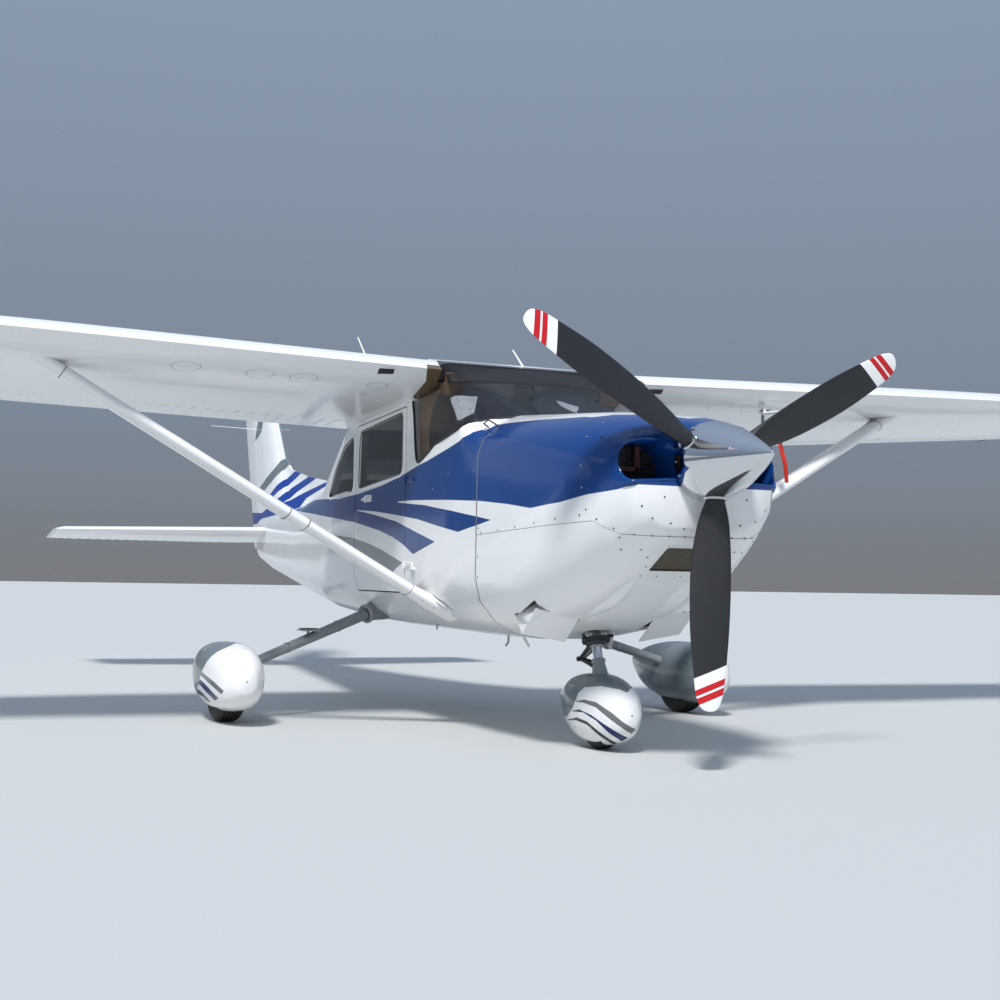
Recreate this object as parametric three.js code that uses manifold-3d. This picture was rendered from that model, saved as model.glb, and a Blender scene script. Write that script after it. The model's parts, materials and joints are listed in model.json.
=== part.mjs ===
// Light aircraft: one engine, high wing on struts, fixed tricycle gear, three-blade propeller.
// Millimetres. +X is the aircraft's left, the nose points to -Y, +Z is up and the ground is z = 0.
// The origin is the middle of the box that holds the whole aircraft, on the ground.

import * as THREE from 'three';
import { mergeVertices } from 'three/addons/utils/BufferGeometryUtils.js';
import Module from 'manifold-3d';

const wasm = await Module();
wasm.setup();

// Driving dimensions
const LENGTH = 8840;
const SPAN = 10970;
const HEIGHT = 2840;
const SEAT_GAP = 0.3;
const MOVING_GAP = 6;
const SIDE_GAP = 12;
const DOOR_GAP = 7;
const WIDE = 800;

const propeller = {
  planeY: -3986,
  axisZ: 1304,
  radius: 1040,
  noseUpDegrees: 0.9,
  firstBladeDegrees: 2.2,
  blades: 3,
  spinnerRadius: 168,
  spinnerSkirt: 66,
  spinnerWall: 6,
  hubRadius: 70,
  hubHalf: 78,
  bladeHole: 58,
  sides: 20,
};
const spinnerLength = LENGTH / 2 + propeller.planeY;

const cowl = { front: -3905, rear: -2642.3, wall: 12 };
const firewall = { front: -2642, rear: -2630 };
const cabin = { front: -2629.7, rear: 235, wall: 45 };
const cone = { front: 235.3, rear: 3250, wall: 6 };

const wing = {
  rootX: 550.4,
  breakX: 2540,
  ribX: 5280,
  tipX: SPAN / 2,
  leadY: -2202,
  leadZ: 1860,
  leadZatX: 600,
  dihedralDegrees: 1.5,
  chord: 1626,
  ribChord: 1118,
  ribSweep: 110,
  rootPitchDegrees: 6,
  ribPitchDegrees: 3,
  thickness: 0.12,
  camber: 0.02,
  tipCutX: 5300,
};

const mainWheel = { x: 1412, y: -1287, radius: 200, width: 150, well: 172, rim: 92, bore: 23, axle: 22.3 };
const noseWheel = { x: 0, y: -2967, radius: 155, width: 104, well: 134, rim: 72, bore: 17, axle: 16.3 };

const material = {
  white: paint(0xf2f3f2),
  grey: paint(0x8d9499),
  blue: paint(0x0b4696),
  charcoal: finish(0x2a2b2e, 0.55, 0.1),
  mirror: finish(0xe6e8ea, 0.06, 1),
  steel: finish(0xa9adb0, 0.35, 0.9),
  chrome: finish(0xdcdfe2, 0.12, 1),
  iron: finish(0x4b4d50, 0.6, 0.6),
  tyre: finish(0x1b1b1c, 0.9, 0),
  tan: finish(0xb79b78, 0.85, 0),
  panel: finish(0x1c1d20, 0.6, 0),
  glass: glass(0xbfd3dc),
};

function paint(colour) {
  return new THREE.MeshStandardMaterial({ color: colour, roughness: 0.25, metalness: 0 });
}

function finish(colour, roughness, metalness) {
  return new THREE.MeshStandardMaterial({ color: colour, roughness, metalness });
}

function glass(colour) {
  return new THREE.MeshStandardMaterial({
    color: colour, roughness: 0.05, metalness: 0, transparent: true, opacity: 0.35,
  });
}

// Solids and geometry
const radians = THREE.MathUtils.degToRad;
const v3 = (x, y, z) => new THREE.Vector3(x, y, z);
const mix = (a, b, t) => a + (b - a) * t;
const clamp = THREE.MathUtils.clamp;
const X = v3(1, 0, 0);
const Y = v3(0, 1, 0);
const Z = v3(0, 0, 1);

function stripped(geometry) {
  const g = geometry.clone();
  g.deleteAttribute('normal');
  g.deleteAttribute('uv');
  return mergeVertices(g, 1e-4);
}

function toSolid(geometry) {
  const g = stripped(geometry);
  const vertProperties = new Float32Array(g.attributes.position.array);
  const triVerts = new Uint32Array(g.index.array);
  return new wasm.Manifold(new wasm.Mesh({ numProp: 3, vertProperties, triVerts }));
}

function toGeometry(solid) {
  const mesh = solid.getMesh();
  const g = new THREE.BufferGeometry();
  g.setAttribute('position', new THREE.Float32BufferAttribute(mesh.vertProperties, 3));
  g.setIndex(new THREE.Uint32BufferAttribute(mesh.triVerts, 1));
  return g;
}

function signedVolume(points, index) {
  let sum = 0;
  for (let i = 0; i < index.length; i += 3) {
    const [a, b, c] = [points[index[i]], points[index[i + 1]], points[index[i + 2]]];
    sum += a.dot(v3().crossVectors(b, c)) / 6;
  }
  return sum;
}

const flipped = (index) => index.map((_, i) => index[i - (i % 3) + [0, 2, 1][i % 3]]);

// A closed solid from points and triangles, turned so that its faces point out.
function closedSolid(points, index) {
  const g = new THREE.BufferGeometry();
  g.setAttribute('position', new THREE.Float32BufferAttribute(points.flatMap((p) => [...p]), 3));
  g.setIndex(signedVolume(points, index) < 0 ? flipped(index) : index);
  return toSolid(g);
}

// A closed solid through rings of points, each ring with the same number of points.
// Each half of a ring has its own diagonal, so that an even shape has even faces.
function loft(rings) {
  const n = rings[0].length;
  const index = [];
  for (let s = 0; s + 1 < rings.length; s++) {
    for (let i = 0; i < n; i++) {
      const a = s * n + i;
      const b = s * n + ((i + 1) % n);
      if (i < n / 2) index.push(a, b, b + n, a, b + n, a + n);
      else index.push(a, b, a + n, b, b + n, a + n);
    }
  }
  const last = rings.length - 1;
  for (const [a, b, c] of capFaces(rings[0])) index.push(a, c, b);
  for (const face of capFaces(rings[last])) index.push(...face.map((i) => i + last * n));
  return closedSolid(rings.flat(), index);
}

function capFaces(ring) {
  const normal = v3();
  ring.forEach((p, i) => normal.add(v3().crossVectors(p, ring[(i + 1) % ring.length])));
  normal.normalize();
  const side = Math.abs(normal.z) < 0.9 ? Z : X;
  const u = v3().crossVectors(side, normal).normalize();
  const w = v3().crossVectors(normal, u);
  const flat = ring.map((p) => new THREE.Vector2(p.dot(u), p.dot(w)));
  return THREE.ShapeUtils.triangulateShape(flat, []);
}

function box(x0, x1, y0, y1, z0, z1) {
  const g = new THREE.BoxGeometry(x1 - x0, y1 - y0, z1 - z0);
  g.translate((x0 + x1) / 2, (y0 + y1) / 2, (z0 + z1) / 2);
  return toSolid(g);
}

function roundedShape(points, radius) {
  if (!radius) return new THREE.Shape(points.map((p) => new THREE.Vector2(...p)));
  const n = points.length;
  const bends = points.map((p, i) => {
    const corner = new THREE.Vector2(...p);
    const before = new THREE.Vector2(...points[(i + n - 1) % n]).sub(corner).normalize();
    const after = new THREE.Vector2(...points[(i + 1) % n]).sub(corner).normalize();
    const start = corner.clone().addScaledVector(before, radius);
    const end = corner.clone().addScaledVector(after, radius);
    return new THREE.QuadraticBezierCurve(start, corner, end).getPoints(3);
  });
  return new THREE.Shape(bends.flat());
}

function prism(points, low, high, basis, radius = 0) {
  const g = new THREE.ExtrudeGeometry(roundedShape(points, radius), {
    depth: high - low, bevelEnabled: false,
  });
  g.translate(0, 0, low);
  g.applyMatrix4(basis);
  return toSolid(g);
}

const sideView = new THREE.Matrix4().makeBasis(Y, Z, X);
const frontView = new THREE.Matrix4().makeBasis(Z, X, Y);
const topView = new THREE.Matrix4();

// Outlines are [y, z] seen from the side, [z, x] seen from the front and [x, y] seen from above.
const prismX = (points, x0, x1, radius) => prism(points, x0, x1, sideView, radius);
const prismY = (points, y0, y1, radius) => prism(points, y0, y1, frontView, radius);
const prismZ = (points, z0, z1, radius) => prism(points, z0, z1, topView, radius);

// A round bar from point a to point b, with a radius at each end.
function rod(a, b, radiusA, radiusB = radiusA, sides = 12) {
  const along = v3().subVectors(b, a);
  const g = new THREE.CylinderGeometry(radiusB, radiusA, along.length(), sides);
  g.applyQuaternion(new THREE.Quaternion().setFromUnitVectors(Y, along.clone().normalize()));
  g.translate((a.x + b.x) / 2, (a.y + b.y) / 2, (a.z + b.z) / 2);
  return toSolid(g);
}

// A solid turned from a closed profile of [radius, distance along the axis] points.
function lathe(profile, sides, turn) {
  const g = new THREE.LatheGeometry(profile.map((p) => new THREE.Vector2(...p)), sides);
  turn(g);
  const merged = stripped(g);
  const position = merged.attributes.position;
  const points = Array.from({ length: position.count }, (_, i) => v3().fromBufferAttribute(position, i));
  return closedSolid(points, withoutFlatFaces(Array.from(merged.index.array)));
}

// Faces with two corners in one place, as at the pole of a turned shape, are left out.
function withoutFlatFaces(index) {
  const kept = [];
  for (let i = 0; i < index.length; i += 3) {
    const [a, b, c] = index.slice(i, i + 3);
    if (a !== b && b !== c && c !== a) kept.push(a, b, c);
  }
  return kept;
}

const turnedX = (profile, sides) => lathe(profile, sides, (g) => g.rotateZ(-Math.PI / 2));
const turnedNoseward = (profile, sides) => lathe(profile, sides, (g) => g.rotateX(Math.PI));

function mirrored(solid) {
  const g = toGeometry(solid);
  g.scale(-1, 1, 1);
  g.setIndex(flipped(Array.from(g.index.array)));
  return toSolid(g);
}

function moved(solid, x, y, z) {
  const g = toGeometry(solid);
  g.translate(x, y, z);
  return toSolid(g);
}

function turned(solid, axis, degrees) {
  const g = toGeometry(solid);
  g.applyQuaternion(new THREE.Quaternion().setFromAxisAngle(axis, radians(degrees)));
  return toSolid(g);
}

const union = (...solids) => solids.reduce((a, b) => a.add(b));
const both = (solid) => union(solid, mirrored(solid));

// A flat outline with every edge moved in by a distance, or out by a negative one.
function shrunk(points, by) {
  const n = points.length;
  const area = points.reduce((sum, p, i) => {
    const q = points[(i + 1) % n];
    return sum + p[0] * q[1] - q[0] * p[1];
  }, 0);
  const inward = Math.sign(area) * by;
  return points.map((p, i) => {
    const e1 = unit(points[(i + n - 1) % n], p);
    const e2 = unit(p, points[(i + 1) % n]);
    const k = inward / (1 + e1[0] * e2[0] + e1[1] * e2[1]);
    return [p[0] - k * (e1[1] + e2[1]), p[1] + k * (e1[0] + e2[0])];
  });
}

function unit(a, b) {
  const d = Math.hypot(b[0] - a[0], b[1] - a[1]);
  return [(b[0] - a[0]) / d, (b[1] - a[1]) / d];
}

// The body: one skin from the cowl's front to the tail, in sections of lines and arcs.
// Columns: y, bottom z, top z, half width, keel corner width and rise, crown corner width and drop.
const bodySections = [
  [-3905, 1030, 1440, 330, 200, 200, 210, 160],
  [-3847, 965, 1480, 372, 230, 230, 250, 180],
  [-3667, 860, 1523, 436, 270, 250, 310, 190],
  [-3367, 700, 1560, 485, 290, 230, 360, 200],
  [-2967, 560, 1592, 512, 320, 230, 400, 210],
  [-2630, 503, 1612, 525, 370, 290, 410, 220],
  [-2547, 500, 1628, 532, 380, 310, 430, 240],
  [-2167, 500, 1900, 550, 400, 340, 60, 50],
  [-1967, 500, 1945, 550, 400, 340, 20, 14],
  [-1717, 502, 1935, 550, 400, 340, 20, 14],
  [-1267, 508, 1868, 550, 390, 330, 20, 14],
  [-827, 515, 1763, 550, 360, 310, 20, 14],
  [-577, 525, 1688, 546, 330, 290, 40, 30],
  [235, 575, 1425, 458, 230, 230, 200, 150],
  [1325, 692, 1318, 330, 150, 170, 190, 150],
  [2655, 830, 1280, 190, 100, 130, 120, 110],
  [3250, 913, 1266, 112, 68, 98, 72, 70],
];

function bodyAt(y) {
  const last = bodySections.length - 2;
  const found = bodySections.findIndex((row, i) => i <= last && y <= bodySections[i + 1][0]);
  const s = found < 0 ? last : found;
  const [low, high] = [bodySections[s], bodySections[s + 1]];
  const t = (y - low[0]) / (high[0] - low[0]);
  return low.map((value, i) => mix(value, high[i], t));
}

// One section of the body, drawn in by an inset on every side.
function bodyRing(y, inset) {
  const [, bottom, top, half, keelW, keelH, crownW, crownH] = bodyAt(y);
  const arcSteps = 4;
  const smallest = 4;
  const right = [];
  const arc = (cx, cz, rx, rz, from) => {
    for (let i = 0; i <= arcSteps; i++) {
      const a = from + (Math.PI / 2) * (i / arcSteps);
      right.push([cx + rx * Math.cos(a), cz + rz * Math.sin(a)]);
    }
  };
  const [kw, kh, cw, ch] = [keelW, keelH, crownW, crownH].map((r) => Math.max(r - inset, smallest));
  arc(half - inset - kw, bottom + inset + kh, kw, kh, -Math.PI / 2);
  arc(half - inset - cw, top - inset - ch, cw, ch, 0);
  const left = right.map(([x, z]) => [-x, z]).reverse();
  return [...right, ...left].map(([x, z]) => v3(x, y, z));
}

// The body between two stations, drawn in by an inset; extra lengthens it at both ends.
function bodyLoft(from, to, inset, extra = 0) {
  const ys = bodySections.map((row) => row[0]).filter((y) => y > from + 1 && y < to - 1);
  const rings = [from, ...ys, to].map((y) => bodyRing(y, inset));
  const shifted = (ring, by) => ring.map((p) => v3(p.x, p.y + by, p.z));
  const last = rings.length - 1;
  return loft(rings.map((ring, i) => shifted(ring, i === 0 ? -extra : i === last ? extra : 0)));
}

// Panels of the cabin and cowl, as outlines of [y, z] seen from the side
const outline = {
  windshield: [[-2600, 1622], [-2421, 1540], [-2110, 1477], [-1873, 1396], [-1822, 1425],
    [-1768, 1745], [-2120, 1792], [-2163, 1990], [-2700, 1990], [-2700, 1660]],
  door: [[-1687, 705], [-797, 705], [-797, 1680], [-1687, 1724]],
  doorWindow: [[-1612, 1362], [-868, 1312], [-886, 1640], [-1610, 1690]],
  sideWindow: [[-738, 1304], [-75, 1292], [-275, 1440], [-520, 1560], [-738, 1620]],
  roof: [[-2300, 1750], [-1800, 1750], [-1000, 1742], [-760, 1712], [-540, 1612], [330, 1240],
    [330, 2300], [-2300, 2300]],
  rearWindow: [[-455, 1625], [110, 1390], [110, 1560], [-455, 1800]],
  baggageDoor: [[-560, 900], [-60, 900], [-60, 1235], [-560, 1235]],
  belly: [[-2900, 400], [300, 400], [300, 780], [150, 760], [-700, 672], [-2900, 672]],
  cowlSplit: [[-4000, 975], [-3767, 995], [-3677, 1049], [-2600, 1004], [-2600, 2000],
    [-4000, 2000]],
};

const shell = bodyLoft(cabin.front, cabin.rear, 0)
  .subtract(bodyLoft(cabin.front, cabin.rear, cabin.wall, 20));
const room = bodyLoft(cabin.front, cabin.rear, cabin.wall + SEAT_GAP, 20);
const pane = { outer: 5, inner: 12 };
const glazing = bodyLoft(cabin.front, cabin.rear, pane.outer)
  .subtract(bodyLoft(cabin.front, cabin.rear, pane.inner, 20));
const bodyBlock = bodyLoft(cowl.front, cabin.rear, -SEAT_GAP);

const aircraft = new THREE.Group();

function place(name, solid, look, parent = aircraft) {
  const mesh = new THREE.Mesh(toGeometry(solid), look);
  mesh.name = name;
  parent.add(mesh);
}

// Engine bay
const engine = { front: -3560, rear: -2930, half: 400, bottom: 1110, top: 1410 };
const shaftTilt = Math.tan(radians(propeller.noseUpDegrees));
const onShaft = (y) => v3(0, y, propeller.axisZ - (y - propeller.planeY) * shaftTilt);

function engineBlock() {
  const block = box(-engine.half, engine.half, engine.front, engine.rear, engine.bottom, engine.top);
  const sump = box(-190, 190, engine.front + 120, engine.rear - 30, 960, engine.bottom + 10);
  const mount = box(-260, 260, engine.rear - 10, firewall.front - SEAT_GAP, 1050, 1380);
  const flange = propeller.planeY + propeller.hubHalf + 0.6;
  const shaft = rod(onShaft(engine.front + 10), onShaft(flange), 50, 50, 16);
  return union(block, sump, mount, shaft);
}

// The pipe hangs from the sump and leaves through the bottom of the cowl.
const exhaust = { top: v3(110, -2990, 980), bottom: v3(110, -2800, 468), radius: 24 };

function exhaustPipe(engineSolid) {
  const { top, bottom, radius } = exhaust;
  const bore = rod(bottom.clone().lerp(top, 0.06), bottom.clone().lerp(top, -0.05), radius - 3, radius - 3);
  return rod(top, bottom, radius).subtract(bore).subtract(moved(engineSolid, 0, 0, -SEAT_GAP));
}

function cowlShell() {
  const ys = bodySections.map((row) => row[0]).filter((y) => y > cowl.front + 20 && y < cowl.rear);
  const inner = [cowl.front + cowl.wall, ...ys, cowl.rear].map((y) => bodyRing(y, cowl.wall));
  const open = inner[inner.length - 1].map((p) => v3(p.x, p.y + 20, p.z));
  return bodyLoft(cowl.front, cowl.rear, 0).subtract(loft([...inner.slice(0, -1), open]));
}

const outlet = { inner: 190, outer: 430, front: -3120, rear: -2890, innerZ: 622, outerZ: 661 };

function cowlPieces() {
  const mouth = [[1230, 118], [1213, 366], [1300, 384], [1372, 362], [1394, 290], [1388, 205], [1335, 135]];
  const mouths = both(prismY(mouth, -3990, -3640, 30));
  const chin = prismY([[842, -125], [842, 125], [940, 125], [940, -125]], -3990, -3500, 12);
  const shaftHole = rod(onShaft(-3990), onShaft(-3860), 90, 90, 20);
  const airExit = both(box(outlet.inner, outlet.outer, outlet.front, outlet.rear, 400, 760));
  const gearHole = box(-56, 56, -2965, -2800, 400, 800);
  const pipeHole = rod(exhaust.top, exhaust.bottom, exhaust.radius + SEAT_GAP);
  const whole = cowlShell().subtract(union(mouths, chin, shaftHole));
  const upper = prismX(outline.cowlSplit, -WIDE, WIDE);
  return {
    upper: whole.intersect(upper),
    lower: whole.subtract(moved(upper, 0, 0, -SEAT_GAP)).subtract(union(airExit, gearHole, pipeHole)),
  };
}

// The flap hangs open from the front edge of the air exit, with a cheek on its outer side.
function cowlFlap() {
  const drop = radians(38);
  const length = 195;
  const thick = 5;
  const edge = (x, along, up) => {
    const t = (x - outlet.inner) / (outlet.outer - outlet.inner);
    const z = mix(outlet.innerZ, outlet.outerZ, t);
    return v3(x, outlet.front + SEAT_GAP + along * Math.cos(drop) + up * Math.sin(drop),
      z - along * Math.sin(drop) + up * Math.cos(drop));
  };
  const [x0, x1] = [outlet.inner + 8, outlet.outer - 8];
  const ring = (along) => [edge(x0, along, 0), edge(x1, along, 0), edge(x1, along, thick),
    edge(x0, along, thick)];
  const plate = loft([ring(0), ring(length)]);
  const cheekRing = (x) => [edge(x, 20, 1), edge(x, length, 1), edge(x, length, 60), edge(x, 110, 48)];
  return union(plate, loft([cheekRing(x1 - thick), cheekRing(x1)]));
}

// Cabin panels
function cabinPieces() {
  const roofCut = prismX(outline.roof, -WIDE, WIDE);
  const shieldCut = prismX(outline.windshield, -WIDE, WIDE, 25);
  const rearGlassCut = prismX(outline.rearWindow, -WIDE, WIDE, 30);
  const bellyCut = prismX(outline.belly, -WIDE, WIDE);
  const openings = union(prismX(outline.door, 300, WIDE, 30), prismX(outline.sideWindow, 300, WIDE, 25));
  const leftHalf = box(0.2, WIDE, cabin.front - 50, cabin.rear + 50, 300, 2200);
  const framed = shell.subtract(shieldCut);
  const above = framed.subtract(moved(bellyCut, 0, 0, SEAT_GAP)).subtract(rearGlassCut);
  const side = above.subtract(moved(roofCut, 0, 0, -SEAT_GAP)).intersect(leftHalf).subtract(openings);
  return {
    belly: framed.intersect(bellyCut).add(drainPipe()),
    roof: above.intersect(roofCut).add(antennas().subtract(room)),
    left: fitBaggageHinge(side.subtract(prismX(outline.baggageDoor, 300, WIDE, 20))),
    right: mirrored(side),
  };
}

const drainPipe = () => rod(v3(-200, -2480, 515), v3(-200, -2562, 464), 7, 7, 10);

function antennas() {
  const swept = rod(v3(-500, -1150, 1805), v3(-500, -623, 2245), 7, 4, 8);
  const short = rod(v3(0, -2020, 1910), v3(0, -1843, 2046), 7, 4, 8);
  return union(swept, short);
}

function glassPieces() {
  const cut = (points, low, radius) => glazing.intersect(prismX(shrunk(points, SEAT_GAP), low, WIDE, radius));
  return {
    shield: cut(outline.windshield, -WIDE, 25),
    rear: cut(outline.rearWindow, -WIDE, 30),
    side: cut(outline.sideWindow, 300, 25),
    door: cut(outline.doorWindow, 300, 30),
  };
}

// Both doors turn on a hinge at the front, so their rear edge needs the widest gap.
function hingedPanel([frontLow, rearLow, rearHigh, frontHigh], rearGap) {
  const wider = rearGap - DOOR_GAP;
  const cut = [frontLow, [rearLow[0] - wider, rearLow[1]], [rearHigh[0] - wider, rearHigh[1]], frontHigh];
  return shell.intersect(prismX(shrunk(cut, DOOR_GAP), 300, WIDE, 24));
}

const cabinDoor = () => hingedPanel(outline.door, 10).subtract(prismX(outline.doorWindow, 300, WIDE, 30));

// The baggage door's pin hinge: a pin on the cabin side, held by a lug at each end, runs in a
// sleeve on the door.
const baggageHinge = { x: 551, y: -560, low: 985, high: 1150, pin: 3, bore: 3.5, sleeve: 5.5 };
const hingeRod = (low, high, radius) => {
  const { x, y } = baggageHinge;
  return rod(v3(x, y, low), v3(x, y, high), radius, radius, 12);
};

function fitBaggageHinge(side) {
  const { x, y, low, high, pin } = baggageHinge;
  const [past, tall] = [6, 14];
  const lug = (z) => box(x - 16, x + 5, y - 13, y, z, z + tall);
  return side.subtract(hingeRod(low - past, high + past, 11))
    .add(union(hingeRod(low - past - tall, high + past + tall, pin), lug(low - past - tall), lug(high + past)));
}

function baggageDoor() {
  const { x, y, low, high, bore, sleeve } = baggageHinge;
  const leaf = box(x - 10, x - 3, y + 1, y + 16, low, high);
  return hingedPanel(outline.baggageDoor, 14).add(union(hingeRod(low, high, sleeve), leaf))
    .subtract(hingeRod(low, high, bore));
}

const rearBulkhead = () => room.intersect(box(-WIDE, WIDE, 190, 202, 300, 2000));

// The tail cone is a shell, open at its front end where it meets the cabin.
function tailCone(tailplaneBlock) {
  const inner = bodyLoft(cone.front, cone.rear - cone.wall, cone.wall);
  const mouth = bodyLoft(cone.front, cone.front + 40, cone.wall, 20);
  return bodyLoft(cone.front, cone.rear, 0).subtract(union(inner, mouth)).subtract(tailplaneBlock);
}

// Airfoils, as [along the chord, up] points from the nose over the top to the trailing edge and back
const halfThickness = (x, thickness) => 5 * thickness * (0.2969 * Math.sqrt(x) - 0.126 * x
  - 0.3516 * x ** 2 + 0.2843 * x ** 3 - 0.1015 * x ** 4);

function camberLine(x, camber) {
  const peak = 0.4;
  if (x < peak) return (camber / peak ** 2) * (2 * peak * x - x * x);
  return (camber / (1 - peak) ** 2) * (1 - 2 * peak + 2 * peak * x - x * x);
}

function airfoil(chord, thickness, camber = 0, grown = 0) {
  const steps = 7;
  const upper = [];
  const lower = [];
  const edge = 1.2;
  for (let i = 0; i <= steps; i++) {
    const x = (1 - Math.cos((Math.PI * i) / steps)) / 2;
    const half = halfThickness(x, thickness) * chord + edge * x + grown;
    const line = camberLine(x, camber) * chord;
    upper.push([x * chord, line + half]);
    lower.push([x * chord, line - half]);
  }
  return [...upper, ...lower.slice(1).reverse()];
}

// The hollow inside an even airfoil, a wall in from its skin, between two fractions of the chord.
function airfoilCore(chord, thickness, wall, from, to) {
  const steps = 4;
  const least = 1.5;
  const upper = [];
  for (let i = 0; i <= steps; i++) {
    const x = mix(from, to, i / steps);
    upper.push([x * chord, Math.max(halfThickness(x, thickness) * chord - wall, least)]);
  }
  return [...upper, ...upper.map(([along, up]) => [along, -up]).reverse()];
}

// Wings
const leadingEdgeZ = (x) => wing.leadZ + (x - wing.leadZatX) * Math.tan(radians(wing.dihedralDegrees));

// A point of the wing from its span station, its place along the chord and its height over the chord.
function wingPoint(x, along, up, sweep, pitchDegrees) {
  const pitch = radians(pitchDegrees);
  return v3(x, wing.leadY + sweep + along * Math.cos(pitch) + up * Math.sin(pitch),
    leadingEdgeZ(x) - along * Math.sin(pitch) + up * Math.cos(pitch));
}

function wingSolid() {
  const [root, tip] = [wing.rootPitchDegrees, wing.ribPitchDegrees];
  // Columns: span station, chord, sweep, pitch in degrees, thickness
  const ribs = [
    [wing.rootX, wing.chord, 0, root, wing.thickness],
    [wing.breakX, wing.chord, 0, root, wing.thickness],
    [wing.ribX, wing.ribChord, wing.ribSweep, tip, wing.thickness],
    [wing.ribX + 110, wing.ribChord * 0.93, wing.ribSweep + 40, tip, 0.105],
    [wing.tipX - 30, wing.ribChord * 0.8, wing.ribSweep + 110, tip, 0.075],
    [wing.tipX, wing.ribChord * 0.7, wing.ribSweep + 160, tip, 0.035],
  ];
  return loft(ribs.map(([x, chord, sweep, pitch, thickness]) =>
    airfoil(chord, thickness, wing.camber).map(([along, up]) => wingPoint(x, along, up, sweep, pitch))));
}

// A point on the aileron's hinge line, at a share of the chord and a height over it.
function aileronHinge(x, up) {
  const t = clamp((x - wing.breakX) / (wing.ribX - wing.breakX), 0, 1);
  const along = mix(wing.chord * 0.8, wing.ribChord * 0.76, t);
  return wingPoint(x, along, up, mix(0, wing.ribSweep, t),
    mix(wing.rootPitchDegrees, wing.ribPitchDegrees, t));
}

const aileron = { a: aileronHinge(3100, 12), b: aileronHinge(5250, 9), radiusA: 46, radiusB: 40 };
const wingFlap = { inner: 640, outer: 3070, y: wing.leadY + wing.chord * 0.74 };
const overWing = (points) => prismZ(points, 1500, 2400);

// A pin hinge at one place on a control surface's round nose: a bracket on the fixed part holds
// the surface's pin inside a slot.
const hingeSize = { slot: 11, pin: 16, bracket: 5, pinRadius: 6, boreRadius: 6.7, eye: 16, room: 21, arm: 8 };

function hingeFitting(centre, along, nose) {
  const { slot, pin, bracket, pinRadius, boreRadius, eye, room: clear, arm } = hingeSize;
  const { x, y, z } = centre;
  const far = 400;
  const piece = (half, radius) => rod(centre.clone().addScaledVector(along, -half),
    centre.clone().addScaledVector(along, half), radius, radius, 10);
  const ahead = box(x - far, x + far, y - far, y, z - far, z + far);
  const strip = along.z > 0.5 ? box(x - arm, x + arm, y - far, y, z - far, z + far)
    : box(x - far, x + far, y - far, y, z - arm, z + arm);
  return {
    slot: union(piece(slot, nose + 4).intersect(ahead), piece(slot, clear)),
    pin: piece(pin, pinRadius),
    bracket: union(piece(bracket, eye), piece(bracket, nose + 16).intersect(strip))
      .subtract(piece(pin, boreRadius)),
  };
}

// Fits hinges to a moving surface, and returns the brackets for the part that carries it.
function fitHinges(moving, { a, b, radiusA, radiusB }, distances) {
  const along = v3().subVectors(b, a).normalize();
  const length = a.distanceTo(b);
  const fittings = distances.map((d) => hingeFitting(a.clone().addScaledVector(along, d), along,
    mix(radiusA, radiusB, d / length)));
  return {
    moving: moving.subtract(union(...fittings.map((f) => f.slot))).add(union(...fittings.map((f) => f.pin))),
    brackets: union(...fittings.map((f) => f.bracket)),
  };
}

// A hinged rear part: cut off behind its hinge line, with a round nose that turns in a groove.
function hinged(solid, { a, b, radiusA, radiusB }, behind) {
  const along = v3().subVectors(b, a).normalize();
  const past = SIDE_GAP + MOVING_GAP;
  const nose = rod(a, b, radiusA, radiusB, 16);
  const groove = rod(a.clone().addScaledVector(along, -past), b.clone().addScaledVector(along, past),
    radiusA + MOVING_GAP, radiusB + MOVING_GAP, 16);
  return {
    surface: solid.intersect(behind(0).add(nose)),
    rest: solid.subtract(behind(-SIDE_GAP).add(groove)),
  };
}

function wingPieces() {
  const { a, b } = aileron;
  const plan = [[a.x, a.y], [b.x, b.y], [b.x, b.y + 700], [a.x, a.y + 700]];
  const cut = hinged(wingSolid(), aileron, (by) => overWing(shrunk(plan, by)));
  const { inner, outer, y } = wingFlap;
  const flapPlan = [[inner, y], [outer, y], [outer, y + 800], [inner, y + 800]];
  const fixed = cut.rest.subtract(overWing(shrunk(flapPlan, -SEAT_GAP)));
  const beyond = box(wing.tipCutX, SPAN, -3000, 0, 1500, 2500);
  const pinned = fitHinges(cut.surface, aileron, [1075]);
  return {
    aileron: pinned.moving,
    flap: cut.rest.intersect(overWing(flapPlan)),
    tip: fixed.intersect(beyond),
    body: fixed.subtract(moved(beyond, -SEAT_GAP, 0, 0)).add(pinned.brackets),
  };
}

const pitot = { mast: v3(1443, -2110, 1850), elbow: v3(1443, -2130, 1758), tip: v3(1443, -2330, 1750) };

// The pitot tube hangs under the left wing on a short mast.
function pitotTube() {
  return union(rod(pitot.mast, pitot.elbow, 9, 9, 10),
    rod(v3(pitot.elbow.x, pitot.elbow.y + 12, pitot.elbow.z), pitot.tip, 11, 7, 10));
}

const strut = { bottom: v3(445, -1985, 622), top: v3(2540, -1857, 1845), chord: 148, depth: 66 };

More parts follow.
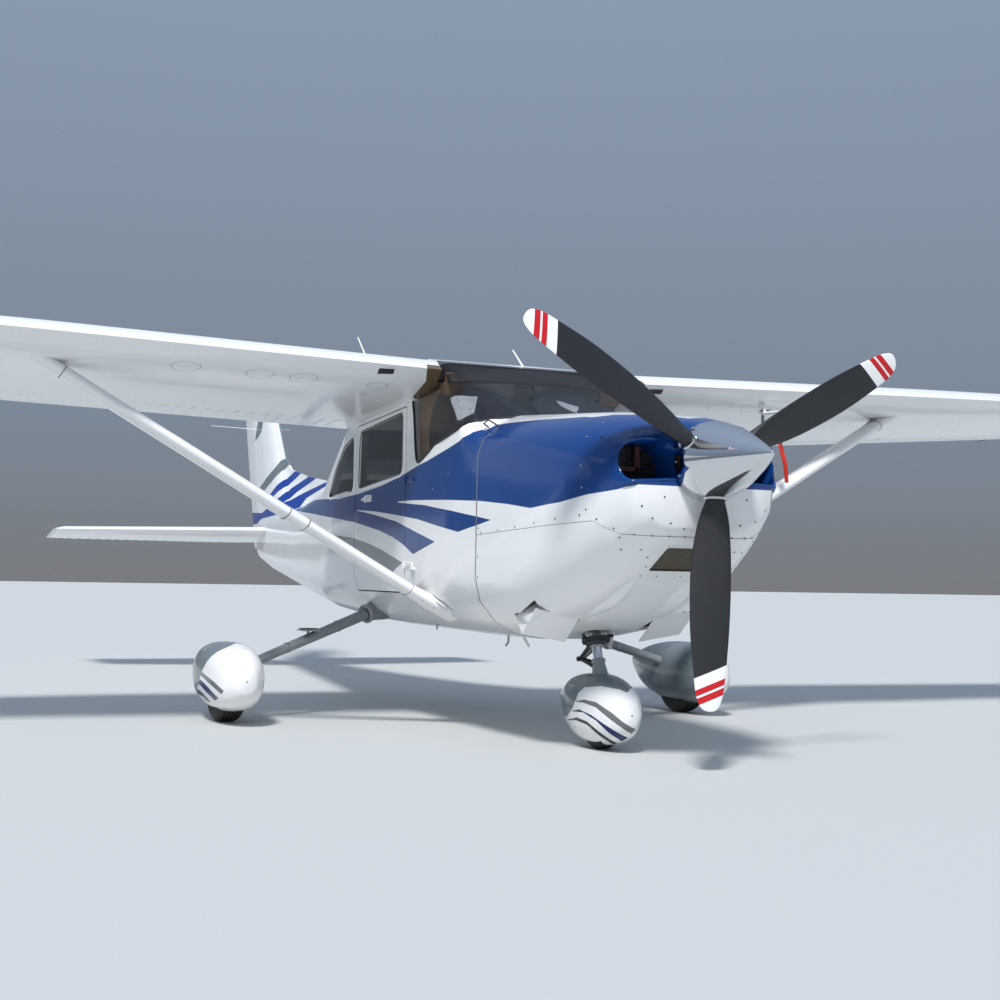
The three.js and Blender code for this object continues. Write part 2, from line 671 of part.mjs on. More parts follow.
function wingStrut(wingBody) {
  const along = v3().subVectors(strut.top, strut.bottom).normalize();
  const up = v3().crossVectors(along, Y).normalize();
  const length = strut.bottom.distanceTo(strut.top);
  const points = 12;
  const ring = (d, chord, depth) => Array.from({ length: points }, (_, i) => {
    const t = (i / points) * 2 * Math.PI;
    return strut.bottom.clone().addScaledVector(along, d)
      .addScaledVector(Y, (chord / 2) * Math.cos(t)).addScaledVector(up, (depth / 2) * Math.sin(t));
  });
  // Columns: distance along the strut, chord, depth
  const sections = [
    [-60, 212, 66], [90, 204, 90], [230, strut.chord, strut.depth],
    [length - 170, strut.chord, strut.depth], [length - 60, 186, 80], [length + 50, 216, 90],
  ];
  const solid = loft(sections.map((row) => ring(...row)));
  return solid.subtract(bodyBlock).subtract(moved(wingBody, 0, 0, -SEAT_GAP));
}

// Tail
const tailplane = {
  leadZ: 1145, slope: 0.07, halfSpan: 1780, rootLead: 2657, tipLead: 3029, hingeY: 3313,
  trailY: 3833, thickness: 0.09, wall: 6, coreHalfSpan: 1650, tube: 16,
};
const tailMidZ = (y) => tailplane.leadZ - (y - tailplane.rootLead) * tailplane.slope;
const overTail = (points) => prismZ(points, 800, 1500);

function tailSection(x, shape, grown = 0) {
  const t = Math.abs(x) / tailplane.halfSpan;
  const lead = mix(tailplane.rootLead, tailplane.tipLead, t) - grown;
  return shape(tailplane.trailY - lead, tailplane.thickness)
    .map(([along, up]) => v3(x, lead + along, tailMidZ(lead + along) + up));
}

function tailplaneSolid() {
  const s = tailplane.halfSpan;
  const rounded = (x) => {
    const ring = tailSection(x, airfoil);
    const middle = mix(ring[0].y, tailplane.trailY, 0.5);
    return ring.map((p) => v3(x, mix(middle, p.y, 0.86), mix(tailMidZ(p.y), p.z, 0.6)));
  };
  return loft([rounded(-s), tailSection(-s + 60, airfoil), tailSection(0, airfoil),
    tailSection(s - 60, airfoil), rounded(s)]);
}

const elevatorHinge = v3(0, tailplane.hingeY, tailMidZ(tailplane.hingeY));

function tailplanePieces() {
  const { halfSpan, hingeY, wall, coreHalfSpan, thickness } = tailplane;
  const solid = tailplaneSolid();
  const atHinge = (x) => v3(x, hingeY, elevatorHinge.z);
  const inner = 100;
  const end = halfSpan + 40;
  const far = 4100;
  const plan = [[inner, hingeY], [end, hingeY], [end, far], [inner + 380, far]];
  const nose = rod(atHinge(inner), atHinge(end), 42, 35, 16);
  const tube = rod(atHinge(-inner - 30), atHinge(inner + 30), tailplane.tube, tailplane.tube, 12);
  const core = (x0, x1, from, to) => loft([x0, (x0 + x1) / 2, x1].map((x) =>
    tailSection(x, (chord) => airfoilCore(chord, thickness, wall, from, to))));
  const half = solid.intersect(overTail(plan).add(nose));
  const halfCore = core(110, coreHalfSpan, 0.4, 0.93).intersect(overTail(shrunk(plan, 26)));
  const drain = rod(v3(inner + 5, hingeY + 60, tailMidZ(hingeY + 60)),
    v3(inner + 130, hingeY + 60, tailMidZ(hingeY + 60)), 9, 9, 10);
  const elevatorLine = { a: atHinge(inner), b: atHinge(end), radiusA: 42, radiusB: 35 };
  const behind = box(-end - 100, end + 100, hingeY - MOVING_GAP, 4300, 800, 1500);
  const groove = both(rod(atHinge(-10), atHinge(end), 48, 41, 16));
  const fixedCore = core(-coreHalfSpan, coreHalfSpan, 0.06, 0.95)
    .intersect(box(-coreHalfSpan, coreHalfSpan, 2600, hingeY - 60, 800, 1500));
  const port = rod(v3(0, 3000, 1000), v3(0, 3000, tailMidZ(3000)), 25, 25, 12);
  const pinned = fitHinges(half.subtract(union(halfCore, drain)), elevatorLine, [850]);
  return {
    elevator: both(pinned.moving).add(tube),
    fixed: solid.subtract(union(behind, groove, fixedCore, port)).add(both(pinned.brackets)),
    block: loft([-400, 0, 400].map((x) =>
      tailSection(x, (chord, t) => airfoil(chord, t, 0, SEAT_GAP), 2 * SEAT_GAP))),
  };
}

const fin = {
  rootZ: 1180, tipZ: 2760, rootLead: 2363, tipLead: 3633, rootTrail: 3821, tipTrail: LENGTH / 2,
  thickness: 0.085, wall: 5, baseZ: 1175, rudderBaseZ: 1010,
};
const rudder = { a: v3(0, 3400, 1010), b: v3(0, 4014, 2830), radiusA: 35, radiusB: 32 };

function finSection(z, shape, thin = 1, short = 1) {
  const t = (z - fin.rootZ) / (fin.tipZ - fin.rootZ);
  const lead = mix(fin.rootLead, fin.tipLead, t);
  const trail = mix(fin.rootTrail, fin.tipTrail, t);
  const middle = (lead + trail) / 2;
  return shape(trail - lead, fin.thickness)
    .map(([along, out]) => v3(out * thin, mix(middle, lead + along, short), z));
}

function finPieces() {
  const top = HEIGHT - 12;
  const whole = (low) => loft([finSection(low, airfoil), finSection(fin.tipZ, airfoil),
    finSection(top, airfoil, 0.7, 0.92), finSection(HEIGHT, airfoil, 0.3, 0.86)]);
  const { a, b, radiusA, radiusB } = rudder;
  const along = v3().subVectors(b, a).normalize();
  const at = (d) => a.clone().addScaledVector(along, d);
  const length = a.distanceTo(b) + 60;
  const side = (points) => prismX(points, -200, 200);
  const strip = (by, d) => [at(d).y + by, at(d).z];
  const aft = (by) => side([strip(by, -60), strip(by, length), [5200, at(length).z], [5200, at(-60).z]]);
  const ahead = (by) => side([strip(by, -60), strip(by, length), [1500, at(length).z], [1500, at(-60).z]]);
  const nose = rod(a, at(length), radiusA, radiusB, 16);
  const groove = rod(at(-60), at(length), radiusA + MOVING_GAP, radiusB + MOVING_GAP, 16);
  const core = (low, from, to) => loft([finSection(low, (c, t) => airfoilCore(c, t, fin.wall, from, to)),
    finSection(fin.tipZ - 60, (c, t) => airfoilCore(c, t, fin.wall, from, to))]);
  const drain = (y, low, high) => rod(v3(0, y, low), v3(0, y, high), 10, 10, 10);
  const rudderCore = core(fin.rudderBaseZ + 25, 0.5, 0.93).intersect(aft(radiusA + 8));
  const finCore = core(1310, 0.06, 0.9).intersect(ahead(-radiusA - MOVING_GAP - 12));
  const dorsal = loft(dorsalSections.map((row) => dorsalRing(...row)));
  const tailBlock = bodyLoft(cabin.rear, cone.rear, -SEAT_GAP);
  const swinging = whole(fin.rudderBaseZ).intersect(aft(0).add(nose))
    .subtract(union(rudderCore, drain(3560, 990, 1060)));
  const pinned = fitHinges(swinging, { a, b: at(length), radiusA, radiusB }, [900]);
  return {
    rudder: pinned.moving,
    fixed: whole(fin.baseZ).subtract(union(aft(-MOVING_GAP), groove)).add(dorsal)
      .subtract(tailBlock).subtract(union(finCore, drain(3000, 1200, 1330))).add(pinned.brackets),
  };
}

// The dorsal fin, a low ridge that rises into the fin. Columns: y, top z, half width, half top width
const dorsalSections = [
  [650, 1385, 4, 2], [1678, 1508, 26, 8], [2171, 1567, 30, 8], [2609, 1642, 34, 9], [2790, 1742, 34, 9],
];

function dorsalRing(y, top, half, topHalf) {
  const base = 1200;
  return [v3(-half, y, base), v3(half, y, base), v3(topHalf, y, top), v3(-topHalf, y, top)];
}

// Main landing gear: a tapered tube with a step, its axle, the wheel, the tyre and the teardrop pant
const leg = {
  root: v3(385, -850, 612), foot: v3(1301, mainWheel.y, 300), rootRadius: 34, footRadius: 25,
};
const legTube = (grown) => rod(leg.root, leg.foot, leg.rootRadius + grown, leg.footRadius + grown);

function gearLeg() {
  const { y, radius, axle, x } = mainWheel;
  const cuff = rod(leg.root, leg.root.clone().lerp(leg.foot, 0.14), 80, 39);
  const plate = box(1290, 1312, y - 38, y + 38, radius - 40, 318);
  const shaft = rod(v3(1300, y, radius), v3(x + 60, y, radius), axle, axle, 16);
  const shoulder = rod(v3(1300, y, radius), v3(1350, y, radius), 34, 34);
  const foothold = leg.root.clone().lerp(leg.foot, 0.57);
  const post = rod(foothold, v3(foothold.x, foothold.y, foothold.z + 47), 9, 9, 8);
  const tread = box(foothold.x - 48, foothold.x + 48, foothold.y - 70, foothold.y + 70,
    foothold.z + 45, foothold.z + 51);
  return union(legTube(0), cuff, plate, shaft, shoulder, post, tread).subtract(bodyBlock);
}

const wheelSides = 20;

function wheelSolid({ width, rim, bore }) {
  const hub = width * 0.36;
  const edge = width * 0.42;
  const seat = rim - SEAT_GAP;
  const web = 12;
  return turnedX([[bore, -hub], [bore + 22, -hub], [bore + 24, -web], [seat - 14, -web],
    [seat - 8, -edge], [seat, -edge], [seat, edge], [seat - 8, edge], [seat - 14, web],
    [bore + 24, web], [bore + 22, hub], [bore, hub], [bore, -hub]], wheelSides);
}

function tyreSolid({ radius, width, rim }) {
  const w = width / 2;
  // Columns: share of the way from rim to tread, share of the half width
  const side = [[0, 0.84], [0.4, 1], [0.75, 0.97], [0.93, 0.75], [1, 0.35]]
    .map(([up, out]) => [mix(rim, radius, up), w * out]);
  const other = side.map(([r, x]) => [r, -x]).reverse();
  return turnedX([...other, ...side, other[0]], wheelSides);
}

// Wheel pants are teardrops whose sections are ellipses, a little squared.
// Columns: y from the axle, middle z, half width, half height
const mainPantRows = [
  [-462, 242, 12, 16], [-435, 242, 68, 84], [-340, 243, 122, 147], [-160, 245, 151, 179],
  [90, 245, 153, 179], [300, 250, 120, 148], [470, 262, 70, 96], [620, 280, 14, 24],
];
const nosePantRows = [
  [-306, 190, 10, 14], [-286, 190, 52, 70], [-215, 190, 94, 124], [-80, 190, 122, 163],
  [90, 191, 119, 162], [240, 198, 86, 128], [350, 208, 42, 72], [440, 216, 8, 18],
];

function teardrop(rows, inset, y0) {
  const points = 12;
  const least = 2;
  const squared = (share) => Math.sign(share) * Math.abs(share) ** 0.86;
  return loft(rows.map(([dy, middle, halfWidth, halfHeight]) =>
    Array.from({ length: points }, (_, i) => {
      const t = (i / points) * 2 * Math.PI;
      return v3(Math.max(halfWidth - inset, least) * squared(Math.cos(t)), y0 + dy,
        middle + Math.max(halfHeight - inset, least) * squared(Math.sin(t)));
    })));
}

const pantWall = 6;

function pantHollow(rows, wheel, inset) {
  const inner = rows.slice(1, -1).map(([dy, ...rest]) => [dy, ...rest]);
  inner[0][0] += inset;
  inner[inner.length - 1][0] -= inset;
  return teardrop(inner, inset, wheel.y);
}

// A pant with its wheel well, open below around the tyre
function pantShell(rows, wheel) {
  const side = wheel.width / 2 + 14;
  const well = box(-side, side, wheel.y - wheel.well, wheel.y + wheel.well, -50, wheel.radius * 0.8);
  return teardrop(rows, 0, wheel.y).subtract(pantHollow(rows, wheel, pantWall)).subtract(well);
}

const mainPant = () => moved(pantShell(mainPantRows, mainWheel), mainWheel.x, 0, 0)
  .subtract(legTube(SEAT_GAP));

// Nose gear, along the leaning steering axis
const noseLeg = { collar: v3(0, -2900, 506), lean: 17, neckTop: 95, neckEnd: 188 };
const steerAxis = v3(0, -Math.sin(radians(noseLeg.lean)), -Math.cos(radians(noseLeg.lean)));
const alongLeg = (d) => noseLeg.collar.clone().addScaledVector(steerAxis, d);

function noseStrut() {
  const frame = box(-150, 150, -2760, firewall.front - SEAT_GAP, 585, 940);
  const tube = rod(alongLeg(-330), alongLeg(0), 32, 32, 16);
  const collar = rod(alongLeg(-14), alongLeg(0), 50, 50, 16);
  const arms = [[-320, 900], [-110, 640]].map(([d, z]) => rod(alongLeg(d), v3(0, -2750, z), 20, 20, 8));
  return union(frame, tube, collar, ...arms);
}

function noseFork() {
  const { y, radius, axle } = noseWheel;
  const crownBottom = 316;
  const [armIn, armOut] = [61, 73];
  const piston = rod(alongLeg(SEAT_GAP), alongLeg(140), 22, 22, 14);
  const neck = rod(alongLeg(noseLeg.neckTop), alongLeg(noseLeg.neckEnd), 27, 44, 16);
  const crown = box(-armOut, armOut, y - 32, y + 50, crownBottom, crownBottom + 14);
  const arm = (x0, x1) => prismX([[y - 26, radius - 26], [y + 26, radius - 26], [y + 44, crownBottom + 6],
    [y - 24, crownBottom + 6]], x0, x1);
  const shaft = rod(v3(-armOut, y, radius), v3(armOut, y, radius), axle, axle, 16);
  const ring = rod(alongLeg(8), alongLeg(28), 36, 36, 14);
  const elbow = v3(0, alongLeg(100).y + 185, alongLeg(100).z);
  const links = [18, 140].map((d) => rod(alongLeg(d), elbow, 13, 10, 8));
  const inside = union(crown, arm(-armOut, -armIn), arm(armIn, armOut))
    .intersect(pantHollow(nosePantRows, noseWheel, pantWall + SEAT_GAP));
  return union(piston, neck, shaft, ring, inside, ...links);
}

function nosePant() {
  const neckHole = rod(alongLeg(noseLeg.neckTop), alongLeg(noseLeg.neckEnd), 27 + SEAT_GAP,
    44 + SEAT_GAP, 16);
  return pantShell(nosePantRows, noseWheel).subtract(neckHole);
}

// Propeller, built about its own axis: the blades lie in the XZ plane and the nose points to -Y.
// Columns: radius, chord, thickness, twist in degrees, sweep towards the leading edge
const bladeStations = [
  [60, 64, 64, 40, 0], [155, 74, 60, 36, 0], [260, 128, 34, 30, -4], [440, 168, 20, 24, -8],
  [700, 168, 14, 16, -4], [940, 134, 9, 12, 4], [1018, 100, 7, 11, 6], [propeller.radius, 50, 5, 11, 8],
];

function bladeSolid() {
  const points = 10;
  return loft(bladeStations.map(([r, chord, thick, twist, sweep]) => {
    const a = radians(twist);
    return Array.from({ length: points }, (_, i) => {
      const t = (i / points) * 2 * Math.PI;
      const c = (chord / 2) * Math.cos(t) + sweep;
      const d = (thick / 2) * Math.sin(t);
      return v3(c * Math.cos(a) + d * Math.sin(a), -c * Math.sin(a) + d * Math.cos(a), -r);
    });
  }));
}

const bladeAngles = Array.from({ length: propeller.blades }, (_, i) =>
  propeller.firstBladeDegrees + (i * 360) / propeller.blades);

function propellerSolid() {
  const { hubHalf, hubRadius } = propeller;
  const blade = bladeSolid();
  const hub = rod(v3(0, -hubHalf, 0), v3(0, hubHalf, 0), hubRadius, hubRadius, propeller.sides);
  return union(hub, ...bladeAngles.map((angle) => turned(blade, Y, angle)));
}

function spinnerSolid() {
  const { spinnerRadius, spinnerWall, spinnerSkirt, hubRadius, bladeHole } = propeller;
  const steps = 7;
  const ogive = (inset) => Array.from({ length: steps + 1 }, (_, i) => {
    const t = i / steps;
    const share = (1 - t ** 1.25) ** 0.9;
    return [(spinnerRadius - inset) * share, t * (spinnerLength - 2 * inset)];
  });
  const hole = hubRadius + SEAT_GAP;
  const backs = [-spinnerSkirt, -spinnerSkirt + spinnerWall];
  const inside = ogive(spinnerWall).reverse();
  const profile = [[spinnerRadius, backs[0]], ...ogive(0), ...inside,
    [spinnerRadius - spinnerWall, backs[1]], [hole, backs[1]], [hole, backs[0]],
    [spinnerRadius, backs[0]]];
  const bladeHoles = bladeAngles.map((angle) =>
    turned(rod(v3(0, 0, -hole), v3(0, 0, -spinnerRadius - 40), bladeHole, bladeHole, 14), Y, angle));
  return turnedNoseward(profile, propeller.sides).subtract(union(...bladeHoles));
}

// Cabin fittings, clipped to the room inside the cabin
function frontSeat() {
  const cushion = box(15, 475, -1700, -1230, 690, 830);
  const base = box(60, 430, -1650, -1280, 500, 700);
  const back = prismX([[-1290, 800], [-1170, 800], [-1020, 1400], [-1110, 1430]], 25, 465, 30);
  return union(cushion, base, back).intersect(room);
}

function rearBench() {
  const cushion = box(-470, 470, -860, -380, 660, 810);
  const base = box(-430, 430, -820, -420, 500, 670);
  const back = prismX([[-440, 780], [-330, 780], [-230, 1330], [-320, 1350]], -455, 455, 30);
  return union(cushion, base, back).intersect(room);
}

function instrumentPanel() {
  const board = box(-480, 480, -2255, -2215, 1110, 1520);
  const hood = prismX([[-2560, 1515], [-2190, 1495], [-2190, 1530], [-2560, 1550]], -440, 440);
  const pedestal = box(-90, 90, -2260, -2190, 500, 1130);
  return union(board, hood, pedestal, both(controlYoke())).intersect(room);
}

// The yokes stay part of the panel: they are small controls.
function controlYoke() {
  const x = 240;
  const column = rod(v3(x, -2220, 1270), v3(x, -1985, 1270), 14, 14, 8);
  const bar = box(x - 130, x + 130, -2000, -1975, 1250, 1290);
  const grip = (low) => box(low, low + 25, -2000, -1975, 1250, 1360);
  return union(column, bar, grip(x - 130), grip(x + 105));
}

// Assembly
const sides = [['left', (solid) => solid], ['right', mirrored]];
const placePair = (name, solid, look) =>
  sides.forEach(([side, toSide]) => place(`${name}_${side}`, toSide(solid), look));

const engineSolid = engineBlock();
place('engine_block', engineSolid, material.iron);
place('exhaust_pipe', exhaustPipe(engineSolid), material.steel);
const cowling = cowlPieces();
place('cowl_upper', cowling.upper, material.blue);
place('cowl_lower', cowling.lower, material.white);
placePair('cowl_flap', cowlFlap(), material.white);
place('firewall', bodyLoft(firewall.front, firewall.rear, 0), material.steel);

const panels = cabinPieces();
place('belly', panels.belly, material.white);
place('roof', panels.roof, material.white);
place('cabin_side_left', panels.left, material.blue);
place('cabin_side_right', panels.right, material.blue);
const panes = glassPieces();
place('windshield', panes.shield, material.glass);
place('rear_window', panes.rear, material.glass);
placePair('side_window', panes.side, material.glass);
placePair('door', cabinDoor(), material.blue);
placePair('door_window', panes.door, material.glass);
place('baggage_door', baggageDoor(), material.blue);
place('rear_bulkhead', rearBulkhead(), material.tan);
placePair('seat', frontSeat(), material.tan);
place('rear_bench', rearBench(), material.tan);
place('instrument_panel', instrumentPanel(), material.panel);

const wings = wingPieces();
place('wing_left', wings.body.add(pitotTube()), material.white);
place('wing_right', mirrored(wings.body), material.white);
placePair('wing_tip', wings.tip, material.white);
placePair('flap', wings.flap, material.white);
placePair('aileron', wings.aileron, material.white);
placePair('wing_strut', wingStrut(wings.body), material.white);

const tail = tailplanePieces();
place('tailplane', tail.fixed, material.white);
place('elevator', tail.elevator, material.white);
const upright = finPieces();
place('fin', upright.fixed, material.white);
place('rudder', upright.rudder, material.white);
place('tail_cone', tailCone(tail.block), material.white);

placePair('gear_leg', gearLeg(), material.grey);
placePair('main_pant', mainPant(), material.white);
place('nose_strut', noseStrut(), material.steel);
place('nose_fork', noseFork(), material.chrome);
place('nose_pant', nosePant(), material.white);

const axles = [['main', 'left', 1], ['main', 'right', -1], ['nose', '', 0]];
for (const [which, side, sign] of axles) {
  const wheel = which === 'main' ? mainWheel : noseWheel;
  const ending = side ? `_${side}` : '';
  const group = new THREE.Group();
  group.position.set(sign * wheel.x, wheel.y, wheel.radius);
  aircraft.add(group);
  place(`${which}_wheel${ending}`, wheelSolid(wheel), material.steel, group);
  place(`${which}_tyre${ending}`, tyreSolid(wheel), material.tyre, group);
}

const propellerShaft = new THREE.Group();
propellerShaft.position.set(0, propeller.planeY, propeller.axisZ);
propellerShaft.rotation.x = -radians(propeller.noseUpDegrees);
aircraft.add(propellerShaft);
place('propeller', propellerSolid(), material.charcoal, propellerShaft);
place('spinner', spinnerSolid(), material.mirror, propellerShaft);

export default aircraft;
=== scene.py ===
"""A parked light aircraft: its looks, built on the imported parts.

Everything is in metres: +Z up, the nose towards -Y, the aircraft's left wing towards +X.
"""
import json
import math

import bpy
from mathutils import Matrix, Vector
from mathutils.bvhtree import BVHTree

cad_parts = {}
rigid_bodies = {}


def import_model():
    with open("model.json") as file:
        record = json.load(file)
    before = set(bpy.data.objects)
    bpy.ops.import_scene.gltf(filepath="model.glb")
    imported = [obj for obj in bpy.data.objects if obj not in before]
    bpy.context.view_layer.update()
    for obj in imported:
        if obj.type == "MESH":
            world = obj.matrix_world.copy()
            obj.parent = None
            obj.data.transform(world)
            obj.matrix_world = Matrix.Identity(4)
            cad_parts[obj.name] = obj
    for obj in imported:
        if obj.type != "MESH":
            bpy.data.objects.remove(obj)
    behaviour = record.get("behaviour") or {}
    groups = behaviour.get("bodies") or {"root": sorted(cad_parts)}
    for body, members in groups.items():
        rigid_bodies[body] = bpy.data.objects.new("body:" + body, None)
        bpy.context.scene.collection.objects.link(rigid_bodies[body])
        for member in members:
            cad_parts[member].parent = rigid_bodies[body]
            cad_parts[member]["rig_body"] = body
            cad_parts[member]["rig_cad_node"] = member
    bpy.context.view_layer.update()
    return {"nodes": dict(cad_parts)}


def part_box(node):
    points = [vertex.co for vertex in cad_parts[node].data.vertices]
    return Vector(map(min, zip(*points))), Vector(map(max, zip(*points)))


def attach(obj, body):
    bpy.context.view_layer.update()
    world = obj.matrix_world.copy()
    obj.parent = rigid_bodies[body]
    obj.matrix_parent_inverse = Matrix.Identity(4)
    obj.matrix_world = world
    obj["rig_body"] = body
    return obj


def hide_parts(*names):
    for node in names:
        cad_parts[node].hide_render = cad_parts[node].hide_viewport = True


SIDES = (("left", 1), ("right", -1))

# Colours, in linear light
WHITE = (0.85, 0.85, 0.845, 1)
BLUE = (0, 0.042, 0.2, 1)
NAVY = (0.001, 0.012, 0.1, 1)
GREY = (0.15, 0.185, 0.2, 1)
STRIPE_GREY = (0.15, 0.155, 0.165, 1)
CHARCOAL = (0.011, 0.0115, 0.014, 1)
RED = (0.55, 0.006, 0.012, 1)
BLACK = (0.008, 0.008, 0.009, 1)
TAN = (0.42, 0.26, 0.13, 1)
SEAM = (0.03, 0.032, 0.035, 1)
TINTED = (0.13, 0.085, 0.045, 1)
FIN_BLUE = (0.003, 0.045, 0.3, 1)
ROOF_BROWN = (0.02, 0.013, 0.011, 1)
DUST = (0.4, 0.38, 0.33, 1)

# Wheel axles, and the propeller's hub
MAIN_AXLE = Vector((1.412, -1.287, 0.2))
NOSE_AXLE = Vector((0, -2.967, 0.155))
PROP_CENTRE = Vector((0, -3.986, 1.304))

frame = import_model()


# Modelling tools
def pick(*pieces):
    """Selects only these pieces, the first one active."""
    bpy.ops.object.select_all(action="DESELECT")
    for piece in pieces:
        piece.select_set(True)
    bpy.context.view_layer.objects.active = pieces[0]


def added(primitive, name, **place):
    """A new primitive at its size and place, under its own name."""
    bpy.ops.object.select_all(action="DESELECT")
    primitive(**place)
    piece = bpy.context.object
    piece.name = name
    piece.data.name = name
    return piece


def settled(piece):
    """Moves the object's place into its mesh."""
    pick(piece)
    bpy.ops.object.transform_apply(location=True, rotation=True, scale=True)
    return piece


def edited(piece, *steps):
    """Takes steps on all of a piece's faces, in edit mode."""
    pick(piece)
    bpy.ops.object.mode_set(mode="EDIT")
    bpy.ops.mesh.select_mode(type="FACE")
    bpy.ops.mesh.select_all(action="SELECT")
    for step in steps:
        step()
    bpy.ops.object.mode_set(mode="OBJECT")
    return piece


def welded():
    """Merges the points that coincide and turns the faces outwards: a step in edit mode."""
    bpy.ops.mesh.select_all(action="SELECT")
    bpy.ops.mesh.remove_doubles(threshold=1e-5)
    bpy.ops.mesh.select_all(action="SELECT")
    bpy.ops.mesh.normals_make_consistent(inside=False)


def modified(piece, kind, **settings):
    """Adds a modifier and applies it."""
    pick(piece)
    modifier = piece.modifiers.new(kind.lower(), kind)
    for name, value in settings.items():
        setattr(modifier, name, value)
    bpy.ops.object.modifier_apply(modifier=modifier.name)
    return piece


def bevelled(piece, width, segments=2):
    return modified(piece, "BEVEL", width=width, segments=segments, limit_method="ANGLE")


def smooth(piece, degrees=35):
    pick(piece)
    bpy.ops.object.shade_smooth_by_angle(angle=math.radians(degrees))
    return piece


def joined(name, pieces):
    """Joins pieces into one, and names it."""
    pick(*pieces)
    if len(pieces) > 1:
        bpy.ops.object.join()
    piece = bpy.context.object
    piece.name = name
    piece.data.name = name
    return settled(piece)


def copied(piece, name, matrix):
    """A copy with its own mesh, moved and turned by a matrix."""
    copy = piece.copy()
    copy.data = piece.data.copy()
    copy.name = name
    copy.data.name = name
    bpy.context.scene.collection.objects.link(copy)
    copy.data.transform(matrix)
    return copy


def discarded(piece):
    bpy.data.objects.remove(piece)


def turned_to(direction):
    """The rotation that turns +Z to a direction."""
    return Vector(direction).to_track_quat("Z", "Y").to_euler()


def set_on(place, direction):
    """The matrix that moves a form to a place with its +Z along a direction."""
    return Matrix.Translation(place) @ turned_to(direction).to_matrix().to_4x4()


def rod(name, start, end, radius, end_radius=None, sides=20):
    """A round bar or cone between two points."""
    start, end = Vector(start), Vector(end)
    return settled(added(
        bpy.ops.mesh.primitive_cone_add, name, vertices=sides, radius1=radius,
        radius2=radius if end_radius is None else end_radius, depth=(end - start).length,
        location=(start + end) / 2, rotation=turned_to(end - start)))


def block(name, low, high):
    low, high = Vector(low), Vector(high)
    return settled(added(bpy.ops.mesh.primitive_cube_add, name, size=1, location=(low + high) / 2,
                         scale=high - low))


def wire(name, points, radius, closed=False, sides=3):
    """A bent round wire through points, as a mesh."""
    curve = bpy.data.curves.new(name, "CURVE")
    curve.dimensions = "3D"
    curve.bevel_depth = radius
    curve.bevel_resolution = sides
    curve.use_fill_caps = True
    line = curve.splines.new("POLY")
    line.points.add(len(points) - 1)
    for point, place in zip(line.points, points):
        point.co = (*place, 1)
    line.use_cyclic_u = closed
    piece = bpy.data.objects.new(name, curve)
    bpy.context.scene.collection.objects.link(piece)
    pick(piece)
    bpy.ops.object.convert(target="MESH")
    return smooth(bpy.context.object, 60)


def lathed(name, profile, sides, centre=(0, 0, 0), axis=(0, 0, 1)):
    """Spins a profile of (radius, height) points round an axis."""
    piece = added(bpy.ops.mesh.primitive_circle_add, name, vertices=3, radius=1)
    mesh = bpy.data.meshes.new(name)
    mesh.from_pydata([(radius, 0, height) for radius, height in profile],
                     [(i, i + 1) for i in range(len(profile) - 1)], [])
    piece.data = mesh
    edited(piece, lambda: bpy.ops.mesh.spin(steps=sides, angle=math.tau, center=(0, 0, 0), axis=(0, 0, 1)),
           welded)
    mesh.transform(set_on(centre, axis))
    return smooth(piece)


skins = {}


def surface_of(mesh):
    return BVHTree.FromPolygons([v.co for v in mesh.vertices], [f.vertices for f in mesh.polygons])


def first_of(nodes, start, direction):
    """Where a line meets the first of these nodes that it reaches, and the normal there, or None."""
    for node in nodes:
        if node not in skins:
            skins[node] = surface_of(frame["nodes"][node].data)
        place, normal, _face, _distance = skins[node].ray_cast(Vector(start), Vector(direction))
        if place is not None:
            return place, normal
    return None


def skin_point(node, start, direction):
    """The point and normal where a line first meets a node's surface, which it has to meet."""
    spot = first_of((node,), start, direction)
    if spot is None:
        raise ValueError(f"no surface of {node} from {start}")
    return spot


def worn_by(piece, body, material):
    """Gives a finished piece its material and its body."""
    piece.data.materials.clear()
    piece.data.materials.append(material)
    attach(piece, body)
    return piece


# Materials
RIVET_PITCH = 0.034
RIVET_RADIUS = 0.003
SKIN_WAVE, SHELL_WAVE = 0.0006, 0.0003


class Value:
    """A number or colour on its way through a material. Sums on it add Math nodes."""

    def __init__(self, paint, socket):
        self.paint = paint
        self.socket = socket

    def sum(self, operation, *values):
        return self.paint.node("ShaderNodeMath", {"operation": operation}, dict(enumerate(values)))

    def __add__(self, other):
        return self.sum("ADD", self, other)

    def __radd__(self, other):
        return self.sum("ADD", other, self)

    def __sub__(self, other):
        return self.sum("SUBTRACT", self, other)

    def __rsub__(self, other):
        return self.sum("SUBTRACT", other, self)

    def __mul__(self, other):
        return self.sum("MULTIPLY", self, other)

    def __rmul__(self, other):
        return self.sum("MULTIPLY", other, self)

    def __truediv__(self, other):
        return self.sum("DIVIDE", self, other)

    def __pow__(self, other):
        return self.sum("POWER", self, other)

    def __abs__(self):
        return self.sum("ABSOLUTE", self)

    def either(self, other):
        return self.sum("MAXIMUM", self, other)

    def both(self, other):
        return self.sum("MINIMUM", self, other)

    def wrapped(self, pitch):
        """The distance from the middle of the nearest cell of a repeat, signed."""
        return self.sum("WRAP", self, pitch / 2, -pitch / 2)

    def above(self, level, soft=0.0015):
        """1 above a level and 0 below it, with a soft edge."""
        return self.paint.step(self, level, soft)


